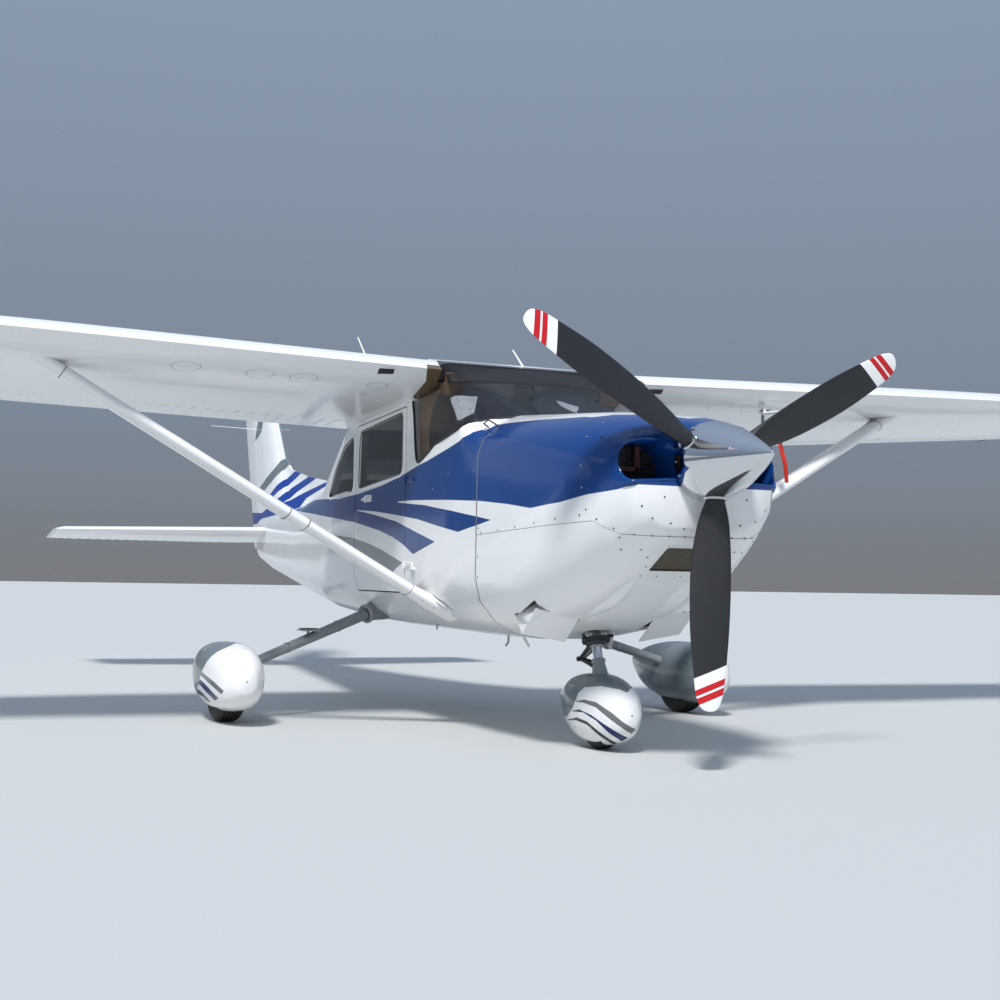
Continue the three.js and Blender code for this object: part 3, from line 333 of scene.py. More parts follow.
class Paint:
    """One material's node tree, made of named nodes."""

    def __init__(self, name):
        self.material = bpy.data.materials.new(name)
        self.material.use_nodes = True
        self.tree = self.material.node_tree
        self.tree.nodes.clear()
        self.place = self.node("ShaderNodeTexCoord", output="Object")
        split = self.node("ShaderNodeSeparateXYZ", {}, {"Vector": self.place}).socket.node
        self.x, self.y, self.z = (Value(self, split.outputs[i]) for i in range(3))

    def node(self, kind, settings=None, inputs=None, output=0):
        """Adds a node of a type with its settings first and then its values or links."""
        made = self.tree.nodes.new(kind)
        for name, value in (settings or {}).items():
            if name == "stops":
                self.set_stops(made.color_ramp, value)
            elif name == "curve":
                self.set_curve(made.mapping, value)
            else:
                setattr(made, name, value)
        for name, value in (inputs or {}).items():
            if isinstance(value, Value):
                self.tree.links.new(value.socket, made.inputs[name])
            else:
                made.inputs[name].default_value = value
        return Value(self, made.outputs[output])

    @staticmethod
    def set_stops(ramp, stops):
        while len(ramp.elements) < len(stops):
            ramp.elements.new(1)
        for element, (position, colour) in zip(ramp.elements, stops):
            element.position = position
            element.color = colour

    @staticmethod
    def set_curve(mapping, points):
        line = mapping.curves[0]
        while len(line.points) < len(points):
            line.points.new(0.5, 0.5)
        for point, place in zip(line.points, points):
            point.location = place
            point.handle_type = "VECTOR"
        mapping.update()

    def step(self, value, level, soft):
        return self.node("ShaderNodeMapRange", {"interpolation_type": "SMOOTHSTEP"},
                         {"Value": value, "From Min": level - soft, "From Max": level + soft})

    def line(self, along, points):
        """The height of a drawn line over a coordinate; points are (along, height)."""
        first, last = points[0][0], points[-1][0]
        heights = [height for _, height in points]
        low, high = min(heights) - 0.01, max(heights) + 0.01
        share = [((a - first) / (last - first), (height - low) / (high - low)) for a, height in points]
        drawn = self.node("ShaderNodeFloatCurve", {"curve": share},
                          {"Factor": 1.0, "Value": (along - first) / (last - first)})
        return low + drawn * (high - low)

    def band(self, along, up, top, bottom, soft=0.0015):
        """1 between two drawn lines, over the stretch that they both cover."""
        start = max(top[0][0], bottom[0][0])
        end = min(top[-1][0], bottom[-1][0])
        inside = (self.line(along, top) - up).above(0, soft) * (up - self.line(along, bottom)).above(0, soft)
        return inside * along.above(start, soft) * (1 - along.above(end, soft))

    def mix(self, share, first, second):
        """A colour between two others."""
        return self.node("ShaderNodeMix", {"data_type": "RGBA"}, {0: share, 6: first, 7: second}, output=2)

    def noise(self, scale, detail=2.0, rough=0.5):
        return self.node("ShaderNodeTexNoise", {}, {"Vector": self.place, "Scale": scale, "Detail": detail,
                                                    "Roughness": rough})

    def rivets(self, across, along):
        """A row of round heads along a line."""
        spread = (across * across + along.wrapped(RIVET_PITCH) ** 2) ** 0.5
        return 1 - self.step(spread, RIVET_RADIUS * 0.75, RIVET_RADIUS * 0.4)

    def relief(self, height, distance):
        return self.node("ShaderNodeBump", {}, {"Strength": 1.0, "Distance": distance, "Height": height})

    def finished(self, colour, rough, bump=None, **values):
        """Ends the material in a Principled shader."""
        inputs = {"Base Color": colour, "Roughness": rough}
        inputs.update({name.replace("_", " "): value for name, value in values.items()})
        if bump is not None:
            inputs["Normal"] = bump
        shader = self.node("ShaderNodeBsdfPrincipled", {}, inputs)
        end = self.tree.nodes.new("ShaderNodeOutputMaterial")
        self.tree.links.new(shader.socket, end.inputs["Surface"])
        return self.material


def darker(colour, share):
    return tuple(c * share for c in colour[:3]) + (1,)


def gloss(paint, colour, heads=None, seams=None, wave=SKIN_WAVE):
    """Glossy aircraft enamel over thin sheet: soft waves, rivet heads, dark seams and faint dust."""
    dust = paint.noise(3.0, 4.0, 0.6)
    fine = paint.noise(240.0, 2.0)
    colour = paint.mix(dust * 0.02, colour, DUST)
    height = paint.noise(5.0, 1.0) * wave + fine * 0.00002
    if heads is not None:
        height = height + heads * 0.0007
        colour = paint.mix(heads * 0.12, colour, SEAM)
    if seams is not None:
        height = height - seams * 0.0012
        colour = paint.mix(seams * 0.8, colour, SEAM)
    rough = 0.1 + dust * 0.1
    return paint.finished(colour, rough, paint.relief(height, 1.0), Coat_Weight=0.15, Coat_Roughness=0.03,
                          Specular_IOR_Level=0.35)


# The fuselage's paint. Lines are (y, z) points on the side.
DECK_EDGE = ((-3.75, 0.0), (-3.65, 0.16), (-3.52, 0.26), (-3.418, 0.305), (-3.152, 0.331), (-2.939, 0.355),
             (-2.72, 0.372), (-2.63, 0.392), (-2.581, 0.413), (-2.535, 0.458))
BLUE_TOP = ((-2.535, 1.531), (-2.502, 1.506), (-2.433, 1.477), (-2.312, 1.452), (-2.188, 1.43),
            (-2.047, 1.408), (-1.852, 1.383), (-1.613, 1.345), (-1.285, 1.307), (-0.851, 1.277),
            (-0.427, 1.265), (0.072, 1.285), (0.512, 1.3), (1.15, 1.292), (1.641, 1.272))
MAIN_LOW = ((-3.96, 1.21), (-3.823, 1.178), (-3.638, 1.16), (-3.455, 1.135), (-3.203, 1.117),
            (-2.988, 1.142), (-2.677, 1.168), (-2.3, 1.187), (-1.802, 1.204), (-1.576, 1.206),
            (-0.83, 1.18), (-0.441, 1.14), (0.079, 1.175), (0.668, 1.215), (1.641, 1.272))
SECOND_TOP = ((-2.8, 1.074), (-2.355, 1.13), (-1.975, 1.172), (-1.565, 1.2), (-1.5, 1.25), (-0.7, 1.25))
SECOND_LOW = ((-2.8, 1.073), (-2.429, 1.023), (-2.184, 1.057), (-1.873, 1.101), (-1.535, 1.133),
              (-1.171, 1.164), (-0.831, 1.183), (-0.7, 1.19))
THIRD_TOP = ((-2.14, 0.978), (-1.874, 1.03), (-1.535, 1.098), (-1.171, 1.144), (-0.831, 1.18),
             (-0.76, 1.25), (0.7, 1.25))
THIRD_LOW = ((-2.14, 0.977), (-1.819, 0.915), (-1.659, 0.969), (-1.496, 1.01), (-1.253, 1.053),
             (-0.78, 1.113), (-0.441, 1.14), (0.079, 1.175), (0.668, 1.215), (0.7, 1.22))
GREY_TOP = ((-1.654, 0.871), (-1.31, 0.942), (-1.055, 0.984), (-0.73, 1.022), (0.08, 1.062), (0.7, 1.1))
GREY_LOW = ((-1.654, 0.87), (-1.467, 0.812), (-1.267, 0.855), (-1.011, 0.903), (-0.458, 1.001),
            (0.081, 1.05), (0.7, 1.099))
COWL_SPLIT = ((-4.0, 0.975), (-3.767, 0.995), (-3.677, 1.049), (-2.642, 1.004))
DECK_FRONT, DECK_REAR = DECK_EDGE[0][0], DECK_EDGE[-1][0]
DECK_LOW = 1.38
BLUE_END = 1.6
# Painted glass beside and over the windshield, between a rear y and a front y
ROOF_GLASS = (-2.045, -2.5)
CORNER_GLASS = (-1.8, -2.3)
CORNER_LOW, CORNER_HIGH = 1.705, 1.8
# Seams at a constant y, and the height or y of the rivet rows
FIREWALL_SEAM, CONE_SEAM, TAIL_SEAM = -2.636, 0.235, 1.74
RIVETS_FROM = -2.6
LOW_ROW, MIDDLE_ROW = 0.78, 1.06
FRAME_PITCH = 0.445


def fuselage_blue(paint):
    """1 where the fuselage is blue."""
    side = abs(paint.x)
    ahead = 1 - paint.y.above(DECK_REAR)
    deck = (paint.line(paint.y, DECK_EDGE) - side).above(0) * paint.z.above(DECK_LOW)
    nose = paint.y.above(DECK_FRONT)
    band = (paint.z - paint.line(paint.y, BLUE_TOP)).above(0)
    under_top = 1 - (ahead * deck * nose).either((1 - ahead) * band)
    above_low = (paint.z - paint.line(paint.y, MAIN_LOW)).above(0)
    main = under_top * above_low * (1 - paint.y.above(BLUE_END))
    second = paint.band(paint.y, paint.z, SECOND_TOP, SECOND_LOW)
    third = paint.band(paint.y, paint.z, THIRD_TOP, THIRD_LOW)
    return main.either(second).either(third)


def near(distance, half=0.0012):
    """1 within a thin line."""
    return 1 - abs(distance).above(half, half * 0.6)


def stretch(paint, ends):
    """1 between a rear y and a front y."""
    rear, front = ends
    return (1 - paint.y.above(rear)) * paint.y.above(front)


def fuselage_paint():
    paint = Paint("fuselage_enamel")
    colour = paint.mix(fuselage_blue(paint), WHITE, BLUE)
    grey = paint.band(paint.y, paint.z, GREY_TOP, GREY_LOW)
    colour = paint.mix(grey, colour, GREY)
    high = paint.z.above(CORNER_HIGH)
    colour = paint.mix(stretch(paint, ROOF_GLASS) * high, colour, ROOF_BROWN)
    corner = stretch(paint, CORNER_GLASS) * paint.z.above(CORNER_LOW) * (1 - high)
    colour = paint.mix(corner, colour, TINTED)
    aft = paint.y.above(RIVETS_FROM)
    frames = paint.rivets((paint.y + 0.02).wrapped(FRAME_PITCH), paint.z) * aft
    low = paint.rivets(paint.z - LOW_ROW, paint.y) * aft
    middle = paint.rivets(paint.z - MIDDLE_ROW, paint.y) * paint.y.above(0.25)
    firewall_seam = near(paint.y - FIREWALL_SEAM, 0.0008) * 0.6
    split = near(paint.z - paint.line(paint.y, COWL_SPLIT)) * (1 - paint.y.above(-2.64))
    seams = firewall_seam.either(near(paint.y - CONE_SEAM)).either(split).either(near(paint.y - TAIL_SEAM))
    return gloss(paint, colour, frames.either(low).either(middle), seams)


# The fin's stripes, as (y, z) points
FIN_GREY = (((2.5, 1.87), (2.844, 1.736), (2.986, 1.667), (3.302, 1.581), (3.65, 1.493), (3.72, 1.47)),
            ((2.5, 1.76), (2.699, 1.678), (2.862, 1.62), (3.078, 1.55), (3.473, 1.459), (3.72, 1.41)))
FIN_FIRST = (((2.2, 1.72), (2.527, 1.613), (2.836, 1.538), (3.217, 1.412)),
             ((2.2, 1.63), (2.396, 1.572), (2.739, 1.493), (3.117, 1.398), (3.217, 1.375)))
FIN_SECOND = (((1.9, 1.6), (2.17, 1.545), (2.56, 1.486), (2.97, 1.372)),
              ((1.9, 1.53), (1.948, 1.52), (2.377, 1.449), (2.7, 1.372), (2.97, 1.33)))
FIN_THIRD = (((1.5, 1.5), (1.655, 1.487), (2.203, 1.432), (2.7, 1.372), (2.97, 1.372), (3.39, 1.31),
              (3.9, 1.33)),
             ((1.5, 1.47), (1.647, 1.455), (2.092, 1.39), (2.35, 1.29), (2.5, 1.25), (3.0, 1.236),
              (3.9, 1.22)))
FIN_UPPER = (((3.38, 2.6), (3.5, 2.3), (3.6, 2.12), (3.74, 1.956)),
             ((3.38, 2.2), (3.45, 2.02), (3.6, 1.975), (3.74, 1.954)))
FIN_RIB_PITCH = 0.31


def fin_paint():
    paint = Paint("fin_enamel")
    y, z = paint.y, paint.z
    blue = paint.band(y, z, *FIN_FIRST).either(paint.band(y, z, *FIN_SECOND)).either(
        paint.band(y, z, *FIN_THIRD))
    colour = paint.mix(blue, WHITE, FIN_BLUE)
    colour = paint.mix(paint.band(y, z, *FIN_GREY).either(paint.band(y, z, *FIN_UPPER)), colour, GREY)
    return gloss(paint, colour, paint.rivets((z - 1.4).wrapped(FIN_RIB_PITCH), y))


# Round covers under the wing: x, y, radius
WING_LIDS = ((0.826, -1.99, 0.052), (0.853, -1.779, 0.03), (1.224, -2.0, 0.07), (1.449, -2.0, 0.07),
             (1.822, -2.0, 0.072), (2.3, -1.5, 0.06), (3.1, -1.7, 0.07), (3.9, -1.7, 0.07),
             (4.6, -1.7, 0.065))
# The wing's underside is below this height at the middle, and rises by this much for each metre out
UNDER_WING, WING_RISE = 1.83, 0.02618
# Where the wing's root meets the tinted corner of the windshield: (y, x)
ROOT_EDGE = ((-2.25, 0.635), (-2.19, 0.63), (-2.134, 0.612), (-2.009, 0.6), (-1.878, 0.585), (-1.78, 0.55))
ROOT_REAR = ROOT_EDGE[-1][0]
ROOT_HIGH = 1.885
SPAR_SHIFT = 0.11


def white_paint(name, rib, row, lids=()):
    """White enamel over ribs and spars, for wings and tail."""
    paint = Paint(name)
    ribs = paint.rivets(paint.x.wrapped(rib), paint.y)
    spars = paint.rivets((paint.y + SPAR_SHIFT).wrapped(row), paint.x)
    covers = 0.0 * paint.x
    under = 1 - (paint.z - abs(paint.x) * WING_RISE).above(UNDER_WING)
    for x, y, radius in lids:
        across = abs(paint.x) - x
        back = paint.y - y
        covers = covers.either(near((across * across + back * back) ** 0.5 - radius, 0.0014))
    root = (paint.line(paint.y, ROOT_EDGE) - abs(paint.x)).above(0) * (1 - paint.y.above(ROOT_REAR))
    colour = paint.mix(root * (1 - paint.z.above(ROOT_HIGH)), WHITE, TINTED)
    return gloss(paint, colour, ribs.either(spars), covers * under)


def shell_paint(name, colour=WHITE):
    return gloss(Paint(name), colour, wave=SHELL_WAVE)


def metal(name, colour, rough, scale=60.0, bump=0.0001):
    """Plain metal with brushing and small dents."""
    paint = Paint(name)
    grain = paint.noise(scale, 4.0, 0.6)
    wear = paint.noise(6.0, 3.0)
    return paint.finished(paint.mix(grain * wear, colour, darker(colour, 0.72)),
                          rough * 0.7 + grain * rough * 0.6, paint.relief(grain, bump), Metallic=1.0)


def chrome_paint():
    paint = Paint("polished_metal")
    haze = paint.noise(14.0, 4.0, 0.7)
    colour = paint.mix(haze * 0.3, (0.72, 0.73, 0.75, 1), (0.5, 0.51, 0.53, 1))
    return paint.finished(colour, 0.03 + haze * 0.07, paint.relief(paint.noise(9.0), 0.0002), Metallic=1.0)


def rubber_paint():
    paint = Paint("tyre_rubber")
    grain = paint.noise(300.0, 3.0)
    dust = paint.noise(8.0, 4.0)
    colour = paint.mix(dust * 0.5, (0.012, 0.012, 0.013, 1), (0.09, 0.08, 0.065, 1))
    return paint.finished(colour, 0.62 + grain * 0.25, paint.relief(grain, 0.0004))


def plastic_paint(name, colour, rough=0.5):
    paint = Paint(name)
    grain = paint.noise(420.0, 2.0)
    return paint.finished(paint.mix(paint.noise(5.0, 3.0), colour, darker(colour, 0.8)),
                          rough + grain * 0.2, paint.relief(grain, 0.0002))


def leather_paint():
    paint = Paint("tan_leather")
    cells = paint.node("ShaderNodeTexVoronoi", {"feature": "DISTANCE_TO_EDGE"},
                       {"Vector": paint.place, "Scale": 260.0})
    folds = paint.noise(12.0, 4.0, 0.6)
    colour = paint.mix(folds, TAN, (0.27, 0.15, 0.07, 1))
    return paint.finished(colour, 0.42 + folds * 0.2, paint.relief(cells + folds * 0.6, 0.0006))


def glass_paint(name, alpha, tint):
    paint = Paint(name)
    smear = paint.noise(5.0, 4.0, 0.7)
    return paint.finished(tint, 0.015 + smear * 0.05, None, Alpha=alpha, Specular_IOR_Level=0.5, IOR=1.5)


def screen_paint():
    """Fine brown mesh over the chin inlet, its holes painted dark as painted shade of the inlet behind."""
    paint = Paint("chin_mesh")
    wires = (abs(paint.x.wrapped(0.006)) / 0.003).both(abs(paint.z.wrapped(0.006)) / 0.003)
    grime = paint.noise(30.0, 4.0)
    # Dark between the wires: painted shade of the inlet seen through the holes
    colour = paint.mix((1 - wires) * 0.7, (0.02, 0.016, 0.01, 1), (0.2, 0.16, 0.1, 1))
    colour = paint.mix(grime * 0.4, colour, (0.05, 0.04, 0.025, 1))
    return paint.finished(colour, 0.6, paint.relief(1 - wires, 0.002), Metallic=0.3)


# Pants: a grey crown and three stripes, masked off along lines drawn from ahead of the outer side.
# Each point is (distance across that view, height).
NOSE_CROWN = ((-0.5, 0.1), (-0.187, 0.12), (-0.158, 0.149), (-0.137, 0.188), (-0.111, 0.261), (-0.081, 0.292),
              (-0.003, 0.306), (0.082, 0.296), (0.158, 0.267), (0.25, 0.2))
NOSE_STRIPES = (
    (STRIPE_GREY, ((-0.123, 0.2214), (-0.0805, 0.2375), (-0.0258, 0.2326), (0.0473, 0.1922), (0.1029, 0.1501),
                   (0.16, 0.1166)),
     ((-0.123, 0.2195), (-0.086, 0.2222), (-0.0259, 0.2085), (0.0479, 0.1559), (0.1396, 0.0948),
      (0.16, 0.1166))),
    (NAVY, ((-0.143, 0.1726), (-0.104, 0.1877), (-0.0491, 0.172), (0.0121, 0.1371), (0.1247, 0.0747)),
     ((-0.143, 0.1712), (-0.0853, 0.1768), (-0.0251, 0.1484), (0.0369, 0.0956), (0.0976, 0.0561),
      (0.1247, 0.0747))),
    (BLACK, ((-0.16, 0.1258), (-0.1153, 0.1482), (-0.0666, 0.1372), (0.0005, 0.0906), (0.0769, 0.0424)),
     ((-0.16, 0.1209), (-0.1198, 0.1323), (-0.0674, 0.1221), (-0.0051, 0.0755), (0.0557, 0.0364),
      (0.0769, 0.0424))),
)
MAIN_CROWN = ((-0.5, 0.1), (-0.168, 0.112), (-0.145, 0.22), (-0.123, 0.29), (-0.104, 0.328), (-0.082, 0.357),
              (-0.054, 0.381), (-0.022, 0.399), (0.05, 0.43), (0.35, 0.45))
MAIN_STRIPES = (
    (STRIPE_GREY, ((-0.17, 0.283), (-0.125, 0.269), (-0.07, 0.238), (-0.0115, 0.1925)),
     ((-0.17, 0.262), (-0.135, 0.252), (-0.08, 0.215), (-0.0237, 0.172), (-0.0115, 0.1925))),
    (NAVY, ((-0.17, 0.237), (-0.1317, 0.2278), (-0.09, 0.195), (-0.0379, 0.1488)),
     ((-0.17, 0.212), (-0.136, 0.198), (-0.1, 0.168), (-0.058, 0.1305), (-0.0379, 0.1488))),
    (BLACK, ((-0.17, 0.178), (-0.127, 0.162), (-0.0779, 0.12)),
     ((-0.17, 0.146), (-0.1215, 0.1387), (-0.0997, 0.115), (-0.0779, 0.1145))),
)


# The views' angles, and where the paint of the outer side starts
MAIN_TURN, NOSE_TURN = 13.2, 27.2
MAIN_SPLIT, NOSE_SPLIT = 1.4, 0.05
# The inner side is grey aft of a line across the pant; on the left pant the grey reaches this much further
# forward, as painted shade
INNER_FRONT, LEFT_INNER_SHADE_REACH = -1.42, 0.24
NOSE_BARE = -3.06
NOSE_SEAM = -2.8


def masked_off(paint, outwards, axle_y, degrees):
    """The distance across a view that is turned outwards from ahead."""
    turn = math.radians(degrees)
    return outwards * math.cos(turn) - (paint.y - axle_y) * math.sin(turn)


def striped(paint, across, stripes, colour, share):
    for shade, top, bottom in stripes:
        colour = paint.mix(paint.band(across, paint.z, top, bottom, 0.001) * share, colour, shade)
    return colour


def main_pant_paint():
    paint = Paint("main_pant_enamel")
    side = abs(paint.x)
    outer = side.above(MAIN_SPLIT)
    across = masked_off(paint, MAIN_AXLE.x - side, MAIN_AXLE.y, MAIN_TURN)
    colour = striped(paint, across, MAIN_STRIPES, WHITE, outer)
    cap = (paint.z - paint.line(across, MAIN_CROWN)).above(0)
    # Grey on the inner side, reaching further forward on the left pant as painted shade
    inner = (1 - outer) * (paint.y + LEFT_INNER_SHADE_REACH * paint.x.above(0)).above(INNER_FRONT, 0.004)
    colour = paint.mix(cap.either(inner), colour, GREY)
    return gloss(paint, colour, seams=near(paint.y - MAIN_AXLE.y), wave=SHELL_WAVE)


def nose_pant_paint():
    paint = Paint("nose_pant_enamel")
    left = paint.x.above(NOSE_SPLIT)
    across = masked_off(paint, paint.x * (1 - 2 * left), NOSE_AXLE.y, NOSE_TURN)
    share = 1 - left * (1 - paint.y.above(NOSE_BARE))
    colour = striped(paint, across, NOSE_STRIPES, WHITE, share)
    crown = paint.line(masked_off(paint, 0 - abs(paint.x), NOSE_AXLE.y, NOSE_TURN), NOSE_CROWN)
    colour = paint.mix((paint.z - crown).above(0), colour, GREY)
    return gloss(paint, colour, seams=near(paint.y - NOSE_SEAM), wave=SHELL_WAVE)


# Bands at the blade's tip: where each starts, along the blade's own map
BLADE_BANDS = ((0.878, WHITE), (0.93, RED), (0.957, WHITE), (0.967, RED), (0.997, WHITE))
BAND_SLANT = 0.45


def blade_paint():
    """Matt charcoal with painted bands at the tip, by the distance from the hub."""
    paint = Paint("blade_paint")
    mapped = paint.node("ShaderNodeUVMap", {"uv_map": "blade_map"})
    out = paint.node("ShaderNodeSeparateXYZ", {}, {"Vector": mapped})
    scuff = paint.noise(40.0, 5.0, 0.7)
    colour = paint.mix(scuff * 0.5, CHARCOAL, (0.024, 0.025, 0.029, 1))
    for start, shade in BLADE_BANDS:
        colour = paint.mix(out.above(start, 0.0008), colour, shade)
    return paint.finished(colour, 0.4 + scuff * 0.25, paint.relief(scuff, 0.0002))


def cloth_paint(name, colour):
    paint = Paint(name)
    weave = abs(paint.x.wrapped(0.0016)) / 0.0008 * (abs(paint.z.wrapped(0.0016)) / 0.0008)
    fade = paint.noise(20.0, 4.0)
    return paint.finished(paint.mix(fade, colour, darker(colour, 0.7)), 0.75, paint.relief(weave, 0.0004))


# Silver patches of the sunshades: the upper and the lower line, as (x, z) points
FOIL_RIGHT = (((-0.515, 1.725), (-0.385, 1.723)),
              ((-0.515, 1.59), (-0.504, 1.59), (-0.44, 1.627), (-0.385, 1.723)))
FOIL_LEFT = (((0.06, 1.73), (0.16, 1.7)), ((0.06, 1.7), (0.07, 1.69), (0.13, 1.66), (0.16, 1.69)))


def shade_paint(name, patch):
    """Dark quilted cloth with a patch of silver bubble foil between two lines."""
    paint = Paint(name)
    foil = paint.band(paint.x, paint.z, *patch, 0.002)
    bubbles = paint.node("ShaderNodeTexVoronoi", {"feature": "F1"}, {"Vector": paint.place, "Scale": 110.0})
    quilt = near(paint.x.wrapped(0.05) - paint.z * 0.2, 0.0012).either(near(paint.z.wrapped(0.05), 0.0012))
    tone = paint.noise(14.0, 4.0)
    cloth = paint.mix(tone, (0.012, 0.013, 0.02, 1), (0.05, 0.053, 0.07, 1))
    # The foil's silver is painted: near white at each bubble's middle and blue-grey at its edge, painted
    # highlights and reflection on the bubbles
    silver = paint.mix(bubbles, (0.97, 0.98, 1.0, 1), (0.5, 0.56, 0.64, 1))
    colour = paint.mix(foil, cloth, silver)
    height = foil * (1 - bubbles) * 0.003 - quilt * 0.002
    return paint.finished(colour, 0.4 - foil * 0.15, paint.relief(height, 1.0))


def lens_paint(name, colour):
    paint = Paint(name)
    ribs = abs(paint.z.wrapped(0.004)) / 0.002
    return paint.finished(paint.mix(ribs, colour, darker(colour, 0.5)), 0.08 + ribs * 0.05,
                          paint.relief(ribs, 0.0006), Coat_Weight=1.0)


# The panel's dials stand in columns and rows at one pitch
DIAL_PITCH = 0.08
DIAL_COLUMNS = (0.08, 0.16, 0.24, 0.32)
DIAL_ROWS = (1.29, 1.37, 1.45)


def dial_paint():
    """Black dial faces with a ring of white marks round each centre."""
    paint = Paint("dial_face")
    across = (paint.x - DIAL_COLUMNS[0]).wrapped(DIAL_PITCH)
    up = (paint.z - DIAL_ROWS[0]).wrapped(DIAL_PITCH)
    out = (across * across + up * up) ** 0.5
    turn = paint.node("ShaderNodeMath", {"operation": "ARCTAN2"}, {0: up, 1: across})
    marks = 1 - abs(turn.wrapped(math.tau / 12)).above(0.05, 0.02)
    marks = marks * (1 - abs(out - 0.0225).above(0.003, 0.0005))
    hand = (1 - abs(across - up * 0.4).above(0.0012, 0.0005)) * (1 - out.above(0.018)) * up.above(0)
    colour = paint.mix(marks.either(hand), (0.01, 0.01, 0.011, 1), (0.75, 0.75, 0.7, 1))
    return paint.finished(colour, 0.25 + paint.noise(30.0) * 0.1, None, Coat_Weight=0.8)


paints = {
    "fuselage": fuselage_paint(),
    "fin": fin_paint(),
    "wing": white_paint("wing_enamel", 0.38, 0.41, WING_LIDS),
    "tail": white_paint("tail_enamel", 0.26, 0.24),
    "shell": shell_paint("white_gelcoat"),
    "chrome": chrome_paint(),
    "blade": blade_paint(),
    "rubber": rubber_paint(),
    "leather": leather_paint(),
    "glass": glass_paint("window_glass", 0.5, (0.012, 0.018, 0.022, 1)),
    "clear": glass_paint("windshield_glass", 0.24, (0.006, 0.007, 0.01, 1)),
    "grey": shell_paint("grey_enamel", (0.24, 0.27, 0.28, 1)),
    "steel": metal("brushed_steel", (0.45, 0.45, 0.46, 1), 0.4),
    "alloy": metal("bare_alloy", (0.62, 0.63, 0.64, 1), 0.35),
    "iron": metal("cast_metal", (0.09, 0.09, 0.094, 1), 0.6, 90.0, 0.0006),
    "dark": plastic_paint("dark_plastic", (0.02, 0.02, 0.022, 1)),
    "tan": plastic_paint("tan_lining", TAN, 0.7),
    "screen": screen_paint(),
    "pant_main": main_pant_paint(),
    "pant_nose": nose_pant_paint(),
    "baffle": plastic_paint("baffle_paint", (0.11, 0.035, 0.025, 1), 0.6),
    "plain": shell_paint("white_enamel"),
    "brown": plastic_paint("brown_trim", (0.03, 0.017, 0.012, 1), 0.35),
    "ribbon": cloth_paint("red_ribbon", (0.7, 0.035, 0.012, 1)),
    "foil_right": shade_paint("foil_shade_right", FOIL_RIGHT),
    "foil_left": shade_paint("foil_shade_left", FOIL_LEFT),
    "red_lens": lens_paint("red_lens", (0.6, 0.01, 0.008, 1)),
    "green_lens": lens_paint("green_lens", (0.01, 0.35, 0.09, 1)),
    "dial": dial_paint(),
}


# CAD nodes, each copied, merged and smoothed so that its curves look round
def dressed(node, paint, angle=38):
    source = frame["nodes"][node]
    body = source["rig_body"]
    piece = source.copy()
    piece.data = source.data.copy()
    piece.parent = None
    piece.name = node + "_skin"
    piece.data.name = piece.name
    del piece["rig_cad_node"]
    bpy.context.scene.collection.objects.link(piece)
    pick(piece)
    bpy.ops.object.mode_set(mode="EDIT")
    bpy.ops.mesh.select_all(action="SELECT")
    bpy.ops.mesh.remove_doubles(threshold=2e-5)
    bpy.ops.mesh.customdata_custom_splitnormals_clear()
    bpy.ops.mesh.dissolve_limited(angle_limit=math.radians(0.4))
    bpy.ops.object.mode_set(mode="OBJECT")
    smooth(piece, angle)
    worn_by(piece, body, paints[paint])
    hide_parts(node)
    return piece


def dress_all():
    plain = {
        "fuselage": ("cowl_upper", "cowl_lower", "belly", "roof", "cabin_side_left", "cabin_side_right",
                     "door_left", "door_right", "baggage_door", "tail_cone", "cowl_flap_left",
                     "cowl_flap_right"),
        "fin": ("fin", "rudder"),
        "wing": ("wing_left", "wing_right", "wing_tip_left", "wing_tip_right", "flap_left", "flap_right",
                 "aileron_left", "aileron_right"),
        "tail": ("tailplane", "elevator"),
        "grey": ("gear_leg_left", "gear_leg_right", "nose_fork"),
        "steel": ("exhaust_pipe", "firewall", "nose_strut"),
        "iron": ("engine_block",),
        "alloy": ("main_wheel_left", "main_wheel_right", "nose_wheel"),
        "tan": ("rear_bulkhead",),
        "dark": ("instrument_panel",),
        "glass": ("rear_window", "side_window_left", "side_window_right", "door_window_left",
                  "door_window_right"),
        "clear": ("windshield",),
    }
    for paint, nodes in plain.items():
        for node in nodes:
            dressed(node, paint, 58 if node in ("cowl_upper", "cowl_lower") else 38)


dress_all()


# Forms through points
def through(points, steps):
    """A smooth line of tuples through others."""
    line = []
    last = len(points) - 1
    for i in range(last):
        before, start = points[max(i - 1, 0)], points[i]
        end, after = points[i + 1], points[min(i + 2, last)]
        for step in range(steps):
            t = step / steps
            line.append(tuple(
                0.5 * (2 * b + (c - a) * t + (2 * a - 5 * b + 4 * c - d) * t * t
                       + (3 * b - a - 3 * c + d) * t ** 3)
                for a, b, c, d in zip(before, start, end, after)))
    line.append(tuple(points[-1]))
    return line


def rounded(points, radius, steps=4):
    """A closed outline with its corners cut to curves."""
    line = []
    for i, corner in enumerate(points):
        corner = Vector(corner)
        ends = [corner + (Vector(other) - corner).normalized() * radius
                for other in (points[i - 1], points[(i + 1) % len(points)])]
        for step in range(steps + 1):
            t = step / steps
            line.append(tuple(ends[0] * (1 - t) ** 2 + corner * 2 * t * (1 - t) + ends[1] * t * t))
    return line


def grown(points, by):
    """An outline pushed outwards from its middle."""
    middle = sum((Vector(p) for p in points), Vector(points[0]) * 0) / len(points)
    return [tuple(Vector(p) + (Vector(p) - middle).normalized() * by) for p in points]


def skinned(name, rows, closed=True, degrees=40):
    """A skin over rows of points: a grid whose corners are set row by row."""
    rows = [[*row, row[0]] if closed else list(row) for row in rows]
    across = len(rows[0])
    piece = added(bpy.ops.mesh.primitive_grid_add, name, x_subdivisions=across - 1,
                  y_subdivisions=len(rows) - 1, size=1)
    piece.data.vertices.foreach_set("co", [value for row in rows for point in row for value in point])
    return smooth(edited(piece, welded), degrees)


def ring_of(count, form):
    """Points round a ring; form gives a point for each angle."""
    return [form(math.tau * i / count) for i in range(count)]


